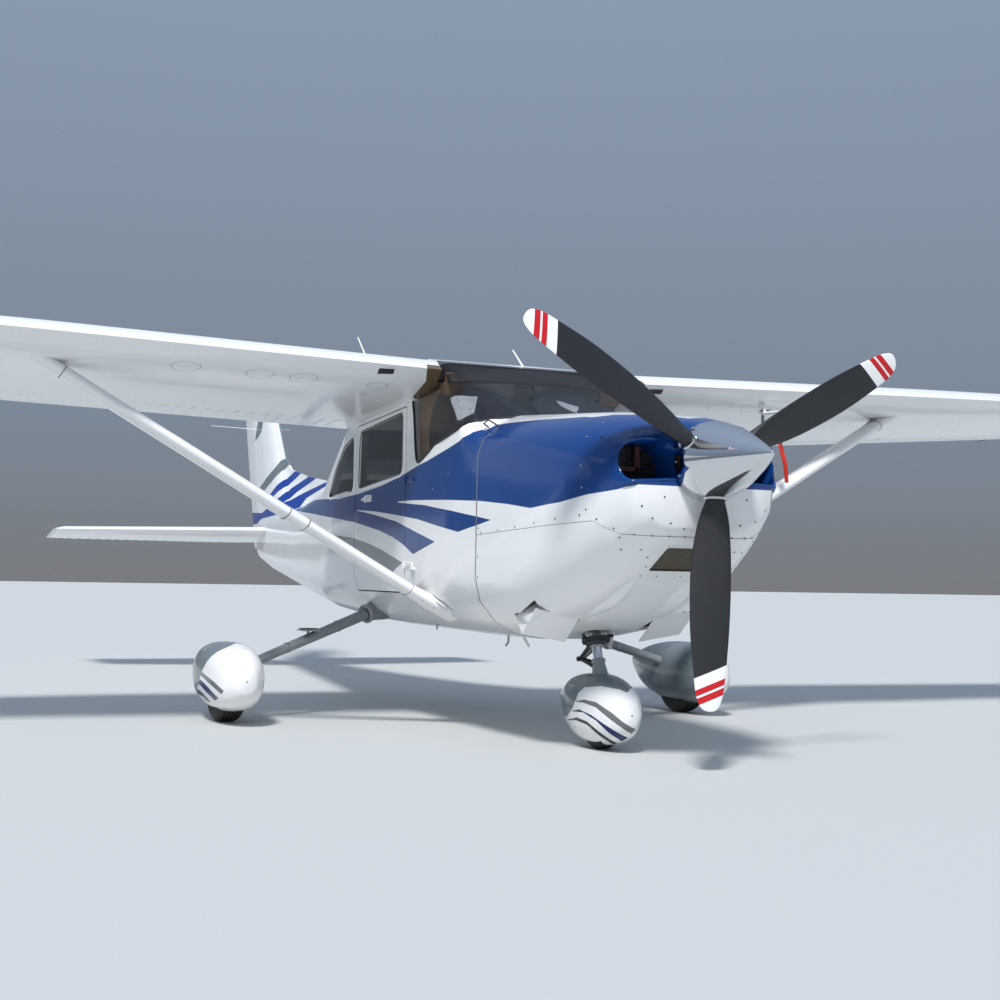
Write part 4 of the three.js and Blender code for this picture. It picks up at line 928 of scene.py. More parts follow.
def studded(name, places, radius, height, sides=10):
    """One round head, copied to each (place, outward direction)."""
    head = added(bpy.ops.mesh.primitive_cylinder_add, name, vertices=sides, radius=radius, depth=height,
                 location=(0, 0, height / 2))
    settled(head)
    bevelled(head, height * 0.45, 2)
    smooth(head, 50)
    heads = []
    for i, (place, direction) in enumerate(places):
        heads.append(copied(head, f"{name}_{i}", set_on(place, direction)))
    discarded(head)
    return joined(name, heads)


def skin_line(nodes, places, side, lift):
    """Points just off the skin, seen from one side: places are (y, z)."""
    line = []
    for y, z in places:
        spot = first_of(nodes, (side * 2, y, z), (-side, 0, 0))
        if spot:
            line.append(spot[0] + spot[1] * lift)
    return line


# Propeller and spinner
BLADE_TURNS = (2.2, 122.2, 242.2)
SHAFT = Matrix.Translation(PROP_CENTRE) @ Matrix.Rotation(math.radians(-0.9), 4, "X")
# Columns: radius, chord, thickness, twist in degrees, sweep towards the leading edge
BLADE_STATIONS = ((0.06, 0.066, 0.066, 40, 0), (0.155, 0.076, 0.062, 36, 0), (0.26, 0.13, 0.036, 30, -0.004),
                  (0.44, 0.168, 0.021, 24, -0.008), (0.7, 0.168, 0.014, 16, -0.004),
                  (0.93, 0.13, 0.009, 12, 0.004), (0.99, 0.108, 0.007, 11, 0.006),
                  (1.022, 0.08, 0.006, 11, 0.008), (1.036, 0.046, 0.004, 11, 0.01),
                  (1.04, 0.012, 0.002, 11, 0.012))
SPINNER_RADIUS = 0.168
SPINNER_LENGTH = 0.434
SPINNER_SKIRT = 0.066


def spinner_reach(ahead):
    """The spinner's radius at a distance ahead of the propeller's plane."""
    share = min(max(ahead / SPINNER_LENGTH, 0), 1)
    return SPINNER_RADIUS * (1 - share ** 1.25) ** 0.9


def blade_form():
    rows = []
    for radius, chord, thick, twist, sweep in through(BLADE_STATIONS, 4):
        turn = math.radians(twist)

        def section(angle):
            along = chord / 2 * math.cos(angle) + sweep
            deep = thick / 2 * math.sin(angle) * (1 + 0.25 * math.cos(angle))
            return (along * math.cos(turn) + deep * math.sin(turn),
                    deep * math.cos(turn) - along * math.sin(turn), -radius)
        rows.append(ring_of(28, section))
    blade = skinned("blade", rows)
    mapped = blade.data.uv_layers.new(name="blade_map")
    for corner in blade.data.loops:
        place = blade.data.vertices[corner.vertex_index].co
        mapped.data[corner.index].uv = (place.x * BAND_SLANT - place.z, place.x)
    return blade


def propeller():
    blade = blade_form()
    blades = [copied(blade, f"blade_{i}", SHAFT @ Matrix.Rotation(math.radians(turn), 4, "Y"))
              for i, turn in enumerate(BLADE_TURNS)]
    hub = rod("hub", (0, -0.078, 0), (0, 0.078, 0), 0.07, sides=32)
    bevelled(hub, 0.008)
    hub.data.transform(SHAFT)
    piece = joined("propeller_blades", blades + [hub])
    discarded(blade)
    smooth(piece, 50)
    worn_by(piece, "propeller_set", paints["blade"])
    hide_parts("propeller")


def blade_cuff(turn):
    """The turned edge of the spinner round one blade."""
    wide = 0.05
    line = []
    for angle in (math.tau * i / 40 for i in range(40)):
        across, ahead = wide * math.sin(angle), wide * 1.05 * math.cos(angle)
        reach = spinner_reach(ahead)
        line.append(Vector((across, -ahead, -math.sqrt(reach * reach - across * across) - 0.001)))
    cuff = wire("cuff", line, 0.0045, closed=True)
    cuff.data.transform(SHAFT @ Matrix.Rotation(math.radians(turn), 4, "Y"))
    return cuff


def spinner():
    profile = [(0.075, -SPINNER_SKIRT + 0.006), (SPINNER_RADIUS - 0.012, -SPINNER_SKIRT + 0.004),
               (SPINNER_RADIUS - 0.002, -SPINNER_SKIRT), (SPINNER_RADIUS, -SPINNER_SKIRT + 0.003)]
    profile += [(spinner_reach(SPINNER_LENGTH * (i / 32) ** 1.15), SPINNER_LENGTH * (i / 32) ** 1.15)
                for i in range(33)]
    cone = lathed("cone", profile, 72)
    cone.data.transform(SHAFT @ Matrix.Rotation(math.radians(90), 4, "X"))
    screws = []
    for i in range(18):
        if i % 6 in (0, 5):
            continue
        angle = math.tau * (i + 0.5) / 18 + math.radians(BLADE_TURNS[0]) - math.pi / 2
        out = Vector((math.cos(angle), 0, math.sin(angle)))
        place = SHAFT @ (out * SPINNER_RADIUS + Vector((0, SPINNER_SKIRT - 0.016, 0)))
        screws.append((place - out * 0.0008, out))
    pieces = [cone, studded("spinner_screws", screws, 0.0042, 0.0024)]
    pieces += [blade_cuff(turn) for turn in BLADE_TURNS]
    piece = joined("spinner_shell", pieces)
    worn_by(piece, "propeller_set", paints["chrome"])
    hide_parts("spinner")


# Cowl
MOUTH = ((0.118, 1.23), (0.366, 1.213), (0.384, 1.3), (0.362, 1.372), (0.29, 1.394), (0.205, 1.388),
         (0.135, 1.335))
MOUTH_MIDDLE = Vector((0.26, 1.305))
AHEAD_OF_ALL = -4.6


def cowl_y(x, z):
    """Where the front of the cowl is, behind a point seen from ahead."""
    spots = [first_of((node,), (x, AHEAD_OF_ALL, z), (0, 1, 0)) for node in ("cowl_upper", "cowl_lower")]
    return min((spot[0].y for spot in spots if spot), default=-3.6)


def mouth_rim(side):
    """The dished collar round an air inlet, and the duct behind it."""
    outline = rounded(MOUTH, 0.03, 3)
    rings = [[] for _ in range(7)]
    for x, z in outline:
        out = (Vector((x, z)) - MOUTH_MIDDLE).normalized()
        outer_side = min(max((x - 0.16) / 0.18, 0), 1)
        reach = 0.012 + outer_side * (0.03 + 0.035 * max(out.x, 0) + 0.022 * max(out.y, 0))
        lift = 0.004 + 0.02 * outer_side
        steps = ((reach, -0.002), (reach * 0.7, 0.004), (reach * 0.35, 0.008 + lift * 0.3), (0.007, lift),
                 (0.0, lift + 0.002), (-0.005, lift - 0.004))
        for ring, (away, raised) in zip(rings, steps):
            px, pz = x + out.x * away, z + out.y * away
            skin = cowl_y(side * (x + out.x * max(away, 0.008)), z + out.y * max(away, 0.008))
            ring.append((side * px, max(skin - raised, -3.909), pz))
        rings[6].append((side * (x - out.x * 0.02), -3.70, z - out.y * 0.02))
    return skinned("inlet_collar", rings, degrees=60)


def inlet_insides(side):
    """A near-black plate with fins behind the inlet, painted shade for the unlit engine bay, with the
    red-brown edge of a baffle.
    """
    dark = block("bay", (0.1, -3.705, 1.19), (0.4, -3.695, 1.41))
    bevelled(dark, 0.002)
    fins = [dark]
    for i in range(9):
        z = 1.215 + i * 0.021
        fins.append(block(f"fin_{i}", (0.11, -3.72, z), (0.28, -3.705, z + 0.006)))
    bay = joined("inlet_bay", fins)
    level = block("level", (0.24, -3.75, 1.262), (0.36, -3.735, 1.283))
    post = block("post", (0.235, -3.75, 1.262), (0.258, -3.735, 1.37))
    baffle = bevelled(joined("inlet_baffle", [level, post]), 0.002)
    pieces = [bay, baffle]
    for piece in pieces:
        piece.name += "_left" if side > 0 else "_right"
        if side < 0:
            piece.data.transform(Matrix.Scale(-1, 4, Vector((1, 0, 0))))
            piece.data.flip_normals()
    # The bay plate and its fins are near black: painted shade of the engine bay
    worn_by(bay, "airframe", paints["dark"])
    worn_by(baffle, "airframe", paints["baffle"])


def cowl_inlets():
    for name, side in SIDES:
        collar = mouth_rim(side)
        collar.name = f"inlet_collar_{name}"
        worn_by(collar, "airframe", paints["fuselage"])
        inlet_insides(side)


def chin_inlet():
    rows = []
    for i in range(13):
        z = 0.938 - 0.094 * i / 12
        rows.append([(0.124 * (j / 12 * 2 - 1), 0.012 + cowl_y(0.14, z) + 0.004 * (i % 2), z)
                     for j in range(13)])
    screen = skinned("chin_screen", rows, closed=False)
    modified(screen, "SOLIDIFY", thickness=0.004)
    worn_by(screen, "airframe", paints["screen"])
    lip = [(x, cowl_y(x, 0.836) - 0.001, 0.8405) for x in (-0.125, -0.08, 0, 0.08, 0.125)]
    worn_by(wire("chin_lip", lip, 0.004), "airframe", paints["shell"])


COWL_SCREWS = ((-2.60, 1.318), (-2.605, 1.16), (-3.61, 1.288), (-3.619, 1.193), (-3.609, 1.414),
               (-3.603, 1.48), (-2.66, 1.036), (-2.692, 1.015), (-2.882, 1.024), (-3.058, 1.036),
               (-3.241, 1.049), (-3.423, 1.063), (-3.605, 1.075), (-3.65, 1.098), (-3.697, 1.056),
               (-3.754, 1.018), (-2.662, 0.9), (-2.664, 0.8), (-2.3, 1.318), (-2.1, 1.25))
BRIGHT_ABOVE = 1.15
FRONT_SCREWS = ((0.289, 0.992), (0.226, 0.988), (0.153, 0.988), (0.08, 0.988), (0.25, 1.06), (0.17, 1.04),
                (0.1, 1.02), (0.3, 1.11), (0.2, 1.15), (0.23, 0.93), (0.18, 0.9), (0.155, 0.86),
                (0.14, 0.82), (0.06, 0.82), (0.3, 0.93), (0.33, 0.98))


def cowl_fasteners():
    """Quarter-turn studs along the cowl's seams: bright on the blue, dark on the white."""
    bright, dark = [], []
    for name, side in SIDES:
        nodes = ("cowl_upper", "cowl_lower", f"cabin_side_{name}")
        for y, z in COWL_SCREWS:
            spot = first_of(nodes, (side * 2, y, z), (-side, 0, 0))
            (bright if z > BRIGHT_ABOVE else dark).append(spot)
        dark += [first_of(nodes, (side * x, AHEAD_OF_ALL, z), (0, 1, 0)) for x, z in FRONT_SCREWS]
    for name, places, paint in (("bright_studs", bright, "alloy"), ("dark_studs", dark, "iron")):
        studs = studded(f"cowl_{name}", [spot for spot in places if spot], 0.0042, 0.002)
        worn_by(studs, "airframe", paints[paint])


def cowl_blisters():
    """Long low bulges under the cowl, beside the nose leg."""
    for name, side in SIDES:
        rows = []
        for i in range(15):
            share = i / 14
            along = -3.57 + 0.42 * share
            wide = 0.045 * math.sin(math.pi * share) ** 0.6 + 1e-4
            ridge = []
            for j in range(9):
                x = side * (0.14 + 0.03 * share) + wide * (j / 4 - 1)
                skin, normal = skin_point("cowl_lower", (x, along, 0.0), (0, 0, 1))
                swell = 0.02 * math.sin(math.pi * share) * math.cos((j / 4 - 1) * math.pi / 2)
                ridge.append(skin + normal * (swell - 0.0008))
            rows.append(ridge)
        piece = skinned(f"cowl_blister_{name}", rows, closed=False, degrees=80)
        worn_by(piece, "airframe", paints["shell"])


# Cabin windows
DOOR_WINDOW = ((-1.612, 1.362), (-0.868, 1.312), (-0.886, 1.64), (-1.61, 1.69))
SIDE_WINDOW = ((-0.738, 1.304), (-0.075, 1.292), (-0.275, 1.44), (-0.52, 1.56), (-0.738, 1.62))
SHIELD_LINE = ((-2.585, 1.6155), (-2.54, 1.594), (-2.5, 1.576), (-2.46, 1.558), (-2.421, 1.54),
               (-2.36, 1.5275), (-2.28, 1.511), (-2.2, 1.495), (-2.11, 1.477), (-2.04, 1.453), (-1.96, 1.426),
               (-1.9, 1.405), (-1.862, 1.403), (-1.83, 1.425), (-1.815, 1.48), (-1.8, 1.56), (-1.785, 1.65),
               (-1.772, 1.74))


def window_seals():
    for name, side in SIDES:
        for piece_name, outline, node, body in (
                ("door_seal", DOOR_WINDOW, "door", f"door_set_{name}"),
                ("side_seal", SIDE_WINDOW, "cabin_side", "airframe")):
            edge = rounded(grown(outline, 0.013), 0.055, 6)
            line = skin_line((f"{node}_{name}",), edge, side, -0.001)
            frame_line = skin_line((f"{node}_{name}",), rounded(grown(outline, 0.034), 0.07, 6), side, -0.003)
            seal = wire(f"{piece_name}_{name}", line, 0.0045, closed=True)
            worn_by(seal, body, paints["dark"])
            bead = wire(f"{piece_name}_frame_{name}", frame_line, 0.009, closed=True)
            worn_by(bead, body, paints["shell"])
    half = [tuple(p) for p in skin_line(("cabin_side_right", "cowl_upper", "windshield"),
                                        SHIELD_LINE, -1, 0.001)]
    other = [(-x, y, z) for x, y, z in half]
    worn_by(wire("windshield_seal", list(reversed(other)) + half, 0.006), "airframe", paints["dark"])


# Inside the cabin
SEAT_MIDDLE, SEAT_HALF = 0.245, 0.215


def cushion(name, low, high, puff=0.32, cuts=5):
    """A crowned cushion with sides that pull in, from a cut-up cube."""
    low, high = Vector(low), Vector(high)
    middle, half = (low + high) / 2, (high - low) / 2
    piece = added(bpy.ops.mesh.primitive_cube_add, name, size=2)
    edited(piece, lambda: bpy.ops.mesh.subdivide(number_cuts=cuts))
    for vertex in piece.data.vertices:
        x, y, z = vertex.co
        ball = Vector((x * math.sqrt(max(1 - y * y / 2 - z * z / 2 + y * y * z * z / 3, 0)),
                       y * math.sqrt(max(1 - x * x / 2 - z * z / 2 + x * x * z * z / 3, 0)),
                       z * math.sqrt(max(1 - y * y / 2 - x * x / 2 + y * y * x * x / 3, 0))))
        puffed = vertex.co.lerp(ball, puff)
        waist = 1 - 0.05 * (1 - abs(z)) * (1 - abs(x * y))
        vertex.co = Vector((puffed.x * half.x * waist, puffed.y * half.y * waist, puffed.z * half.z)) + middle
    modified(piece, "SUBSURF", levels=1, render_levels=1)
    return smooth(piece, 80)


def leaned(piece, centre, degrees):
    """Tips a piece back about a line across the aircraft."""
    piece.data.transform(Matrix.Translation(centre) @ Matrix.Rotation(math.radians(degrees), 4, "X")
                         @ Matrix.Translation(-Vector(centre)))
    return piece


def upholstered(piece):
    worn_by(piece, "airframe", paints["leather"])


def front_seat(name, middle):
    """A soft cushion, back and headrest in leather on a dark frame."""
    low, high = middle - SEAT_HALF, middle + SEAT_HALF
    base_cushion = cushion(f"front_seat_cushion_{name}", (low, -1.7, 0.69), (high, -1.25, 0.83))
    back = cushion(f"front_seat_back_{name}", (low, -1.29, 0.8), (high, -1.17, 1.4))
    leaned(back, (0, -1.23, 0.8), -12)
    rest = cushion(f"front_seat_headrest_{name}", (middle - 0.11, -1.11, 1.4), (middle + 0.11, -1.03, 1.55))
    leaned(rest, (0, -1.07, 1.4), -8)
    for part, fill in ((base_cushion, 0.8), (back, 0.75), (rest, 0.8)):
        upholstered(part)
    posts = [rod("bar", (middle + x, -1.06, 1.3), (middle + x, -1.06, 1.48), 0.006) for x in (-0.05, 0.05)]
    base = bevelled(block("base", (middle - 0.12, -1.66, 0.63), (middle + 0.12, -1.27, 0.7)), 0.01)
    rails = [rod("rail", (middle + x, -1.7, 0.62), (middle + x, -1.2, 0.62), 0.01) for x in (-0.08, 0.08)]
    frame_piece = joined(f"seat_frame_{name}", posts + [base] + rails)
    worn_by(frame_piece, "airframe", paints["dark"])
    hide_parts(f"seat_{name}")


def seats():
    """Two front seats and a bench."""
    for name, side in SIDES:
        front_seat(name, side * SEAT_MIDDLE)
    bench = cushion("bench_cushion", (-0.46, -0.86, 0.66), (0.46, -0.38, 0.81))
    bench_back = cushion("bench_back", (-0.45, -0.44, 0.78), (0.45, -0.33, 1.33))
    leaned(bench_back, (0, -0.385, 0.78), -10)
    for part in (bench, bench_back):
        upholstered(part)
    foot = bevelled(block("bench_base", (-0.3, -0.8, 0.655), (0.3, -0.44, 0.7)), 0.01)
    worn_by(foot, "airframe", paints["tan"])
    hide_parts("rear_bench")


# Wheel pants. Rows: distance behind the axle, middle height, half width, half height
MAIN_PANT = ((-0.462, 0.242, 0.004, 0.004), (-0.457, 0.242, 0.03, 0.037), (-0.435, 0.242, 0.068, 0.084),
             (-0.34, 0.243, 0.122, 0.147), (-0.16, 0.245, 0.151, 0.179), (0.09, 0.245, 0.153, 0.179),
             (0.3, 0.25, 0.12, 0.148), (0.47, 0.262, 0.07, 0.096), (0.61, 0.279, 0.018, 0.03),
             (0.62, 0.28, 0.004, 0.006))
NOSE_PANT = ((-0.308, 0.18, 0.004, 0.004), (-0.303, 0.18, 0.028, 0.037), (-0.286, 0.181, 0.054, 0.072),
             (-0.215, 0.183, 0.097, 0.126), (-0.08, 0.186, 0.124, 0.164), (0.09, 0.188, 0.121, 0.163),
             (0.24, 0.196, 0.087, 0.13), (0.35, 0.207, 0.043, 0.073), (0.435, 0.215, 0.012, 0.02),
             (0.44, 0.216, 0.004, 0.005))
PANT_SIDES = 44
# Rounds that make room for the tyres: radius, width
MAIN_WELLS = ((0.194, 0.168), (0.206, 0.116))
NOSE_WELLS = ((0.168, 0.134),)
# Screws in the pants' sides: distance behind the axle, height
MAIN_PANT_SCREWS = ((-0.05, 0.34), (-0.05, 0.25), (-0.05, 0.16), (0.05, 0.34), (0.05, 0.16))
NOSE_PANT_SCREWS = ((-0.11, 0.115), (0.02, 0.23), (0.1, 0.23), (0.05, 0.1))
# Tyres: radius, width, rim radius
MAIN_TYRE = (0.2, 0.15, 0.092)
NOSE_TYRE = (0.155, 0.104, 0.072)


def pant(name, axle, rows, wells):
    """A lofted shell with a slot cut for the tyre by (radius, width) rounds."""
    def squared(value):
        return math.copysign(abs(value) ** 0.86, value)

    rings = [ring_of(PANT_SIDES, lambda a: (axle.x + wide * squared(math.cos(a)), axle.y + dy,
                                            middle + tall * squared(math.sin(a))))
             for dy, middle, wide, tall in through(rows, 4)]
    shell = skinned(name, rings, degrees=60)
    for radius, width in wells:
        half = Vector((width / 2, 0, 0))
        well = rod("well", axle - half, axle + half, radius, sides=48)
        modified(shell, "BOOLEAN", object=well, operation="DIFFERENCE", solver="EXACT")
        discarded(well)
    return smooth(shell, 40)


def pants():
    for name, side in SIDES:
        axle = Vector((side * MAIN_AXLE.x, MAIN_AXLE.y, MAIN_AXLE.z))
        shell = pant(f"main_pant_shell_{name}", axle, MAIN_PANT, MAIN_WELLS)
        worn_by(shell, "airframe", paints["pant_main"])
        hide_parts(f"main_pant_{name}")
        screws = []
        for dy, height in MAIN_PANT_SCREWS:
            start = (axle.x + side, axle.y + dy, height)
            screws.append(first_hit(shell, start, (-side, 0, 0)))
        studs = studded(f"pant_screws_{name}", screws, 0.0042, 0.0022)
        worn_by(studs, "airframe", paints["steel"])
    shell = pant("nose_pant_shell", NOSE_AXLE, NOSE_PANT, NOSE_WELLS)
    worn_by(shell, "nose_steering_set", paints["pant_nose"])
    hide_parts("nose_pant")
    screws = [first_hit(shell, (side, NOSE_AXLE.y + dy, height), (-side, 0, 0))
              for side in (1, -1) for dy, height in NOSE_PANT_SCREWS]
    studs = studded("nose_pant_screws", screws, 0.0042, 0.0022)
    worn_by(studs, "nose_steering_set", paints["steel"])


def first_hit(piece, start, direction):
    """Where a line first meets a new piece."""
    place, normal, _face, _distance = surface_of(piece.data).ray_cast(Vector(start), Vector(direction))
    return place, normal


def tyre(name, node, body, axle, radius, width, rim):
    """A treaded tyre: round shoulders, bulged walls and four grooves."""
    half = width / 2
    side_wall = [(rim, half * 0.62), (rim + 0.008, half * 0.78), (rim + 0.03, half * 0.97),
                 (radius - 0.045, half), (radius - 0.022, half * 0.93), (radius - 0.008, half * 0.76),
                 (radius - 0.002, half * 0.6)]
    tread = []
    for groove in (0.5, 0.17):
        tread += [(radius - 0.001, half * (groove + 0.045)), (radius - 0.008, half * (groove + 0.03)),
                  (radius - 0.008, half * (groove - 0.03)), (radius, half * (groove - 0.045))]
    upper = side_wall + tread
    profile = upper + [(r, -h) for r, h in reversed(upper)] + [upper[0]]
    ring = lathed(name, profile, 40, axle, (1, 0, 0))
    smooth(ring, 34)
    worn_by(ring, body, paints["rubber"])
    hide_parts(node)


def hubcap(name, body, axle, side, rim):
    """The outer face of a wheel: a dished disc with bolts and a dust cap."""
    profile = [(0, 0.012), (0.02, 0.012), (0.024, 0.002), (rim * 0.5, 0), (rim * 0.56, 0.006),
               (rim * 0.8, 0.008), (rim * 0.9, 0.016), (rim * 0.97, 0.016), (rim * 0.97, -0.01), (0, -0.01)]
    disc = lathed("disc", profile, 32, axle, (side, 0, 0))
    places = []
    for i in range(6):
        angle = math.tau * i / 6
        out = Vector((0, math.cos(angle), math.sin(angle))) * rim * 0.7
        places.append((Vector(axle) + out + Vector((side * 0.006, 0, 0)), Vector((side, 0, 0))))
    bolts = studded("bolts", places, 0.006, 0.007, 6)
    worn_by(joined(name, [disc, bolts]), body, paints["alloy"])


def tyres():
    for name, side in SIDES:
        axle = (side * MAIN_AXLE.x, MAIN_AXLE.y, MAIN_AXLE.z)
        body = f"main_wheel_set_{name}"
        tyre(f"main_tyre_tread_{name}", f"main_tyre_{name}", body, axle, *MAIN_TYRE)
        cap_place = (axle[0] + side * 0.05, axle[1], axle[2])
        hubcap(f"main_hubcap_{name}", body, cap_place, side, MAIN_TYRE[2])
    tyre("nose_tyre_tread", "nose_tyre", "nose_wheel_set", tuple(NOSE_AXLE), *NOSE_TYRE)


# Nose leg
ACROSS = Vector((1, 0, 0))
LEG_TOP = Vector((0, -2.9, 0.506))
LEG_DOWN = Vector((0, -math.sin(math.radians(17)), -math.cos(math.radians(17))))


def down_leg(distance):
    """A point on the nose leg's line."""
    return LEG_TOP + LEG_DOWN * distance


def nose_collar():
    """A bolted ring with two lugs round the top of the leg."""
    profile = [(0.03, 0.012), (0.066, 0.012), (0.068, 0.009), (0.068, -0.004), (0.064, -0.007),
               (0.05, -0.009), (0.046, -0.02), (0.04, -0.024), (0.03, -0.024), (0.03, 0.012)]
    flange = lathed("flange", profile, 36, LEG_TOP, -LEG_DOWN)
    ahead = LEG_DOWN.cross(ACROSS)
    bolts = []
    for i in range(8):
        angle = math.tau * (i + 0.5) / 8
        out = ACROSS * math.cos(angle) + ahead * math.sin(angle)
        bolts.append((LEG_TOP + out * 0.059 + LEG_DOWN * 0.003, LEG_DOWN))
    heads = studded("collar_bolts", bolts, 0.007, 0.012, 6)
    lugs = []
    for x in (-0.06, 0.06):
        start = LEG_TOP + ACROSS * x - LEG_DOWN * 0.016
        end = LEG_TOP + ACROSS * x * 1.3 + ahead * 0.03 - LEG_DOWN * 0.02
        lugs.append(rod("lug", start, end, 0.011, 0.008, 10))
    worn_by(joined("nose_collar", [flange, heads] + lugs), "airframe", paints["iron"])


def nose_piston():
    """A bright piston above a flared neck."""
    profile = [(0, 0.002), (0.0232, 0.002), (0.0232, 0.104), (0, 0.104)]
    piston = lathed("nose_piston", profile, 40, down_leg(0.022), LEG_DOWN)
    worn_by(piston, "nose_steering_set", paints["chrome"])
    profile = [(0.024, 0.09), (0.031, 0.09), (0.034, 0.094), (0.034, 0.106), (0.03, 0.112), (0.031, 0.13),
               (0.036, 0.152), (0.043, 0.17), (0.054, 0.186), (0.072, 0.202), (0.092, 0.216),
               (0.02, 0.222), (0.024, 0.09)]
    neck = lathed("nose_neck", profile, 40, LEG_TOP, LEG_DOWN)
    worn_by(neck, "nose_steering_set", paints["grey"])


def nose_link():
    """A folding link behind the leg: two arms that meet at a knee."""
    elbow = Vector((0, down_leg(0.1).y + 0.185, down_leg(0.1).z))
    bars = []
    for distance, wide in ((0.024, 0.019), (0.118, 0.021)):
        start = down_leg(distance) + Vector((0, 0.03, 0))
        for x in (-1, 1):
            bars.append(rod("arm", start + ACROSS * (x * wide), elbow + ACROSS * (x * 0.009), 0.011, 0.008,
                            10))
        bars.append(rod("web", start, elbow, 0.012, 0.009, 8))
        reach = ACROSS * (wide + 0.008)
        bars.append(rod("pivot", start - reach, start + reach, 0.012, sides=14))
    bars.append(rod("knee", elbow - ACROSS * 0.022, elbow + ACROSS * 0.022, 0.012, sides=14))
    link = bevelled(joined("nose_link", bars), 0.001)
    worn_by(smooth(link, 40), "nose_steering_set", paints["iron"])


# Struts
STRUT_LOW = Vector((0.445, -1.985, 0.622))
STRUT_HIGH = Vector((2.54, -1.857, 1.845))
STRUT_LENGTH = (STRUT_HIGH - STRUT_LOW).length
# Columns: distance along, chord, depth
STRUT_ROWS = ((-0.06, 0.212, 0.066), (0.02, 0.212, 0.078), (0.09, 0.204, 0.088), (0.18, 0.165, 0.074),
              (0.26, 0.148, 0.066), (1.2, 0.148, 0.066), (STRUT_LENGTH - 0.19, 0.148, 0.066),
              (STRUT_LENGTH - 0.12, 0.158, 0.07), (STRUT_LENGTH - 0.05, 0.188, 0.08),
              (STRUT_LENGTH + 0.035, 0.214, 0.088))
# Where a sleeve goes round the bar, as shares of its length, and how much it stands out
SLEEVE_ROWS = ((0.352, 0), (0.352, 0.005), (0.398, 0.005), (0.398, 0))
# Columns: share of the length, chord, depth
STRUT_BANDS = ((0.09, 0.152, 0.068), (0.352, 0.151, 0.069), (0.398, 0.151, 0.069), (0.93, 0.15, 0.067))


def strut_ring(side, distance, chord, depth, count=36):
    along = (STRUT_HIGH - STRUT_LOW).normalized()
    up = along.cross(Vector((0, 1, 0))).normalized()
    middle = STRUT_LOW + along * distance

    def point(angle):
        place = middle + Vector((0, chord / 2 * math.cos(angle), 0)) + up * (depth / 2 * math.sin(angle))
        return Vector((side * place.x, place.y, place.z))
    return ring_of(count, point)


def strut_screws(name, side):
    places = []
    for share in (0.03, 0.06):
        for angle in (-0.5, -1.2, -1.9, -2.6):
            ring = strut_ring(side, STRUT_LENGTH * share, 0.206, 0.086, 72)
            spot = ring[int(angle / math.tau * 72) % 72]
            middle = STRUT_LOW.lerp(STRUT_HIGH, share)
            middle.x *= side
            places.append((spot, (spot - middle).normalized()))
    studs = studded(f"strut_screws_{name}", places, 0.004, 0.0025)
    worn_by(studs, "airframe", paints["steel"])


def struts():
    for name, side in SIDES:
        bar = skinned("bar", [strut_ring(side, *row) for row in STRUT_ROWS], degrees=50)
        rings = [strut_ring(side, STRUT_LENGTH * share, 0.148 + grow, 0.066 + grow)
                 for share, grow in SLEEVE_ROWS]
        piece = joined(f"strut_{name}", [bar, skinned("sleeve", rings, degrees=30)])
        bands = []
        for share, chord, depth in STRUT_BANDS:
            ring = strut_ring(side, STRUT_LENGTH * share, chord + 0.003, depth + 0.003)
            bands.append(wire("band", ring, 0.0016, closed=True))
        worn_by(piece, "airframe", paints["shell"])
        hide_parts(f"wing_strut_{name}")
        worn_by(joined(f"strut_seams_{name}", bands), "airframe", paints["iron"])
        strut_screws(name, side)


# Corrugated skins: a low rounded bead pressed along the chord at each rib
BEAD_STEPS = 13
BEAD_COLUMNS = (-1, 0, 1)


def bead(node, x, top, wide, height):
    """One bead, laid on the skin from edge to edge; top says which face."""
    start, way = (4, -1) if top else (-1, 1)
    low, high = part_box(node)
    hits = []
    for i in range(BEAD_STEPS):
        y = low[1] + (high[1] - low[1]) * (i + 0.5) / BEAD_STEPS
        row = [first_of((node,), (x + j * wide, y, start), (0, 0, way)) for j in BEAD_COLUMNS]
        if all(row):
            hits.append([place for place, _normal in row])
    hits = hits[1:-1]
    if len(hits) < 3:
        return None
    rows = []
    for i, row in enumerate(hits):
        rise = 0 if i in (0, len(hits) - 1) else height
        rows.append([place + Vector((0, 0, -way)) * (rise * (1 - abs(j)) - 0.0006)
                     for place, j in zip(row, BEAD_COLUMNS)])
    return skinned("bead", rows, closed=False, degrees=60)


def beads_on(name, node, body, columns, wide, height):
    """Beads on both faces of a node at each x."""
    made = [bead(node, x, top, wide, height) for x in columns for top in (True, False)]
    piece = joined(name, [strip for strip in made if strip])
    worn_by(piece, body, paints["plain"])


# Columns: kind, first x, last x, pitch
BEADED = (("flap", 0.7, 3.03, 0.085), ("aileron", 3.17, 5.2, 0.085))


def beads():
    for kind, first, last, pitch in BEADED:
        for name, side in SIDES:
            body = f"aileron_set_{name}" if kind == "aileron" else "airframe"
            columns = [side * (first + i * pitch) for i in range(int((last - first) / pitch) + 1)]
            beads_on(f"{kind}_beads_{name}", f"{kind}_{name}", body, columns, 0.02, 0.005)
    columns = [side * (0.16 + i * 0.078) for i in range(20) for side in (1, -1)]
    beads_on("elevator_beads", "elevator", "elevator_set", columns, 0.018, 0.004)


# Wing fittings
PITOT_PLACE = (1.56, -1.93)
RIBBON_SIZE = (0.028, 0.26)
RIBBON_LOOP = ((-0.012, -0.024), (-0.013, 0), (0, 0.003), (0.013, 0), (0.012, -0.024))
SLOTS = (("right", ((-0.886, 1.8505), (-0.797, 1.8515), (-0.793, 1.824), (-0.886, 1.8205))),
         ("left", ((0.672, 1.845), (0.76, 1.848), (0.76, 1.82), (0.672, 1.817))))


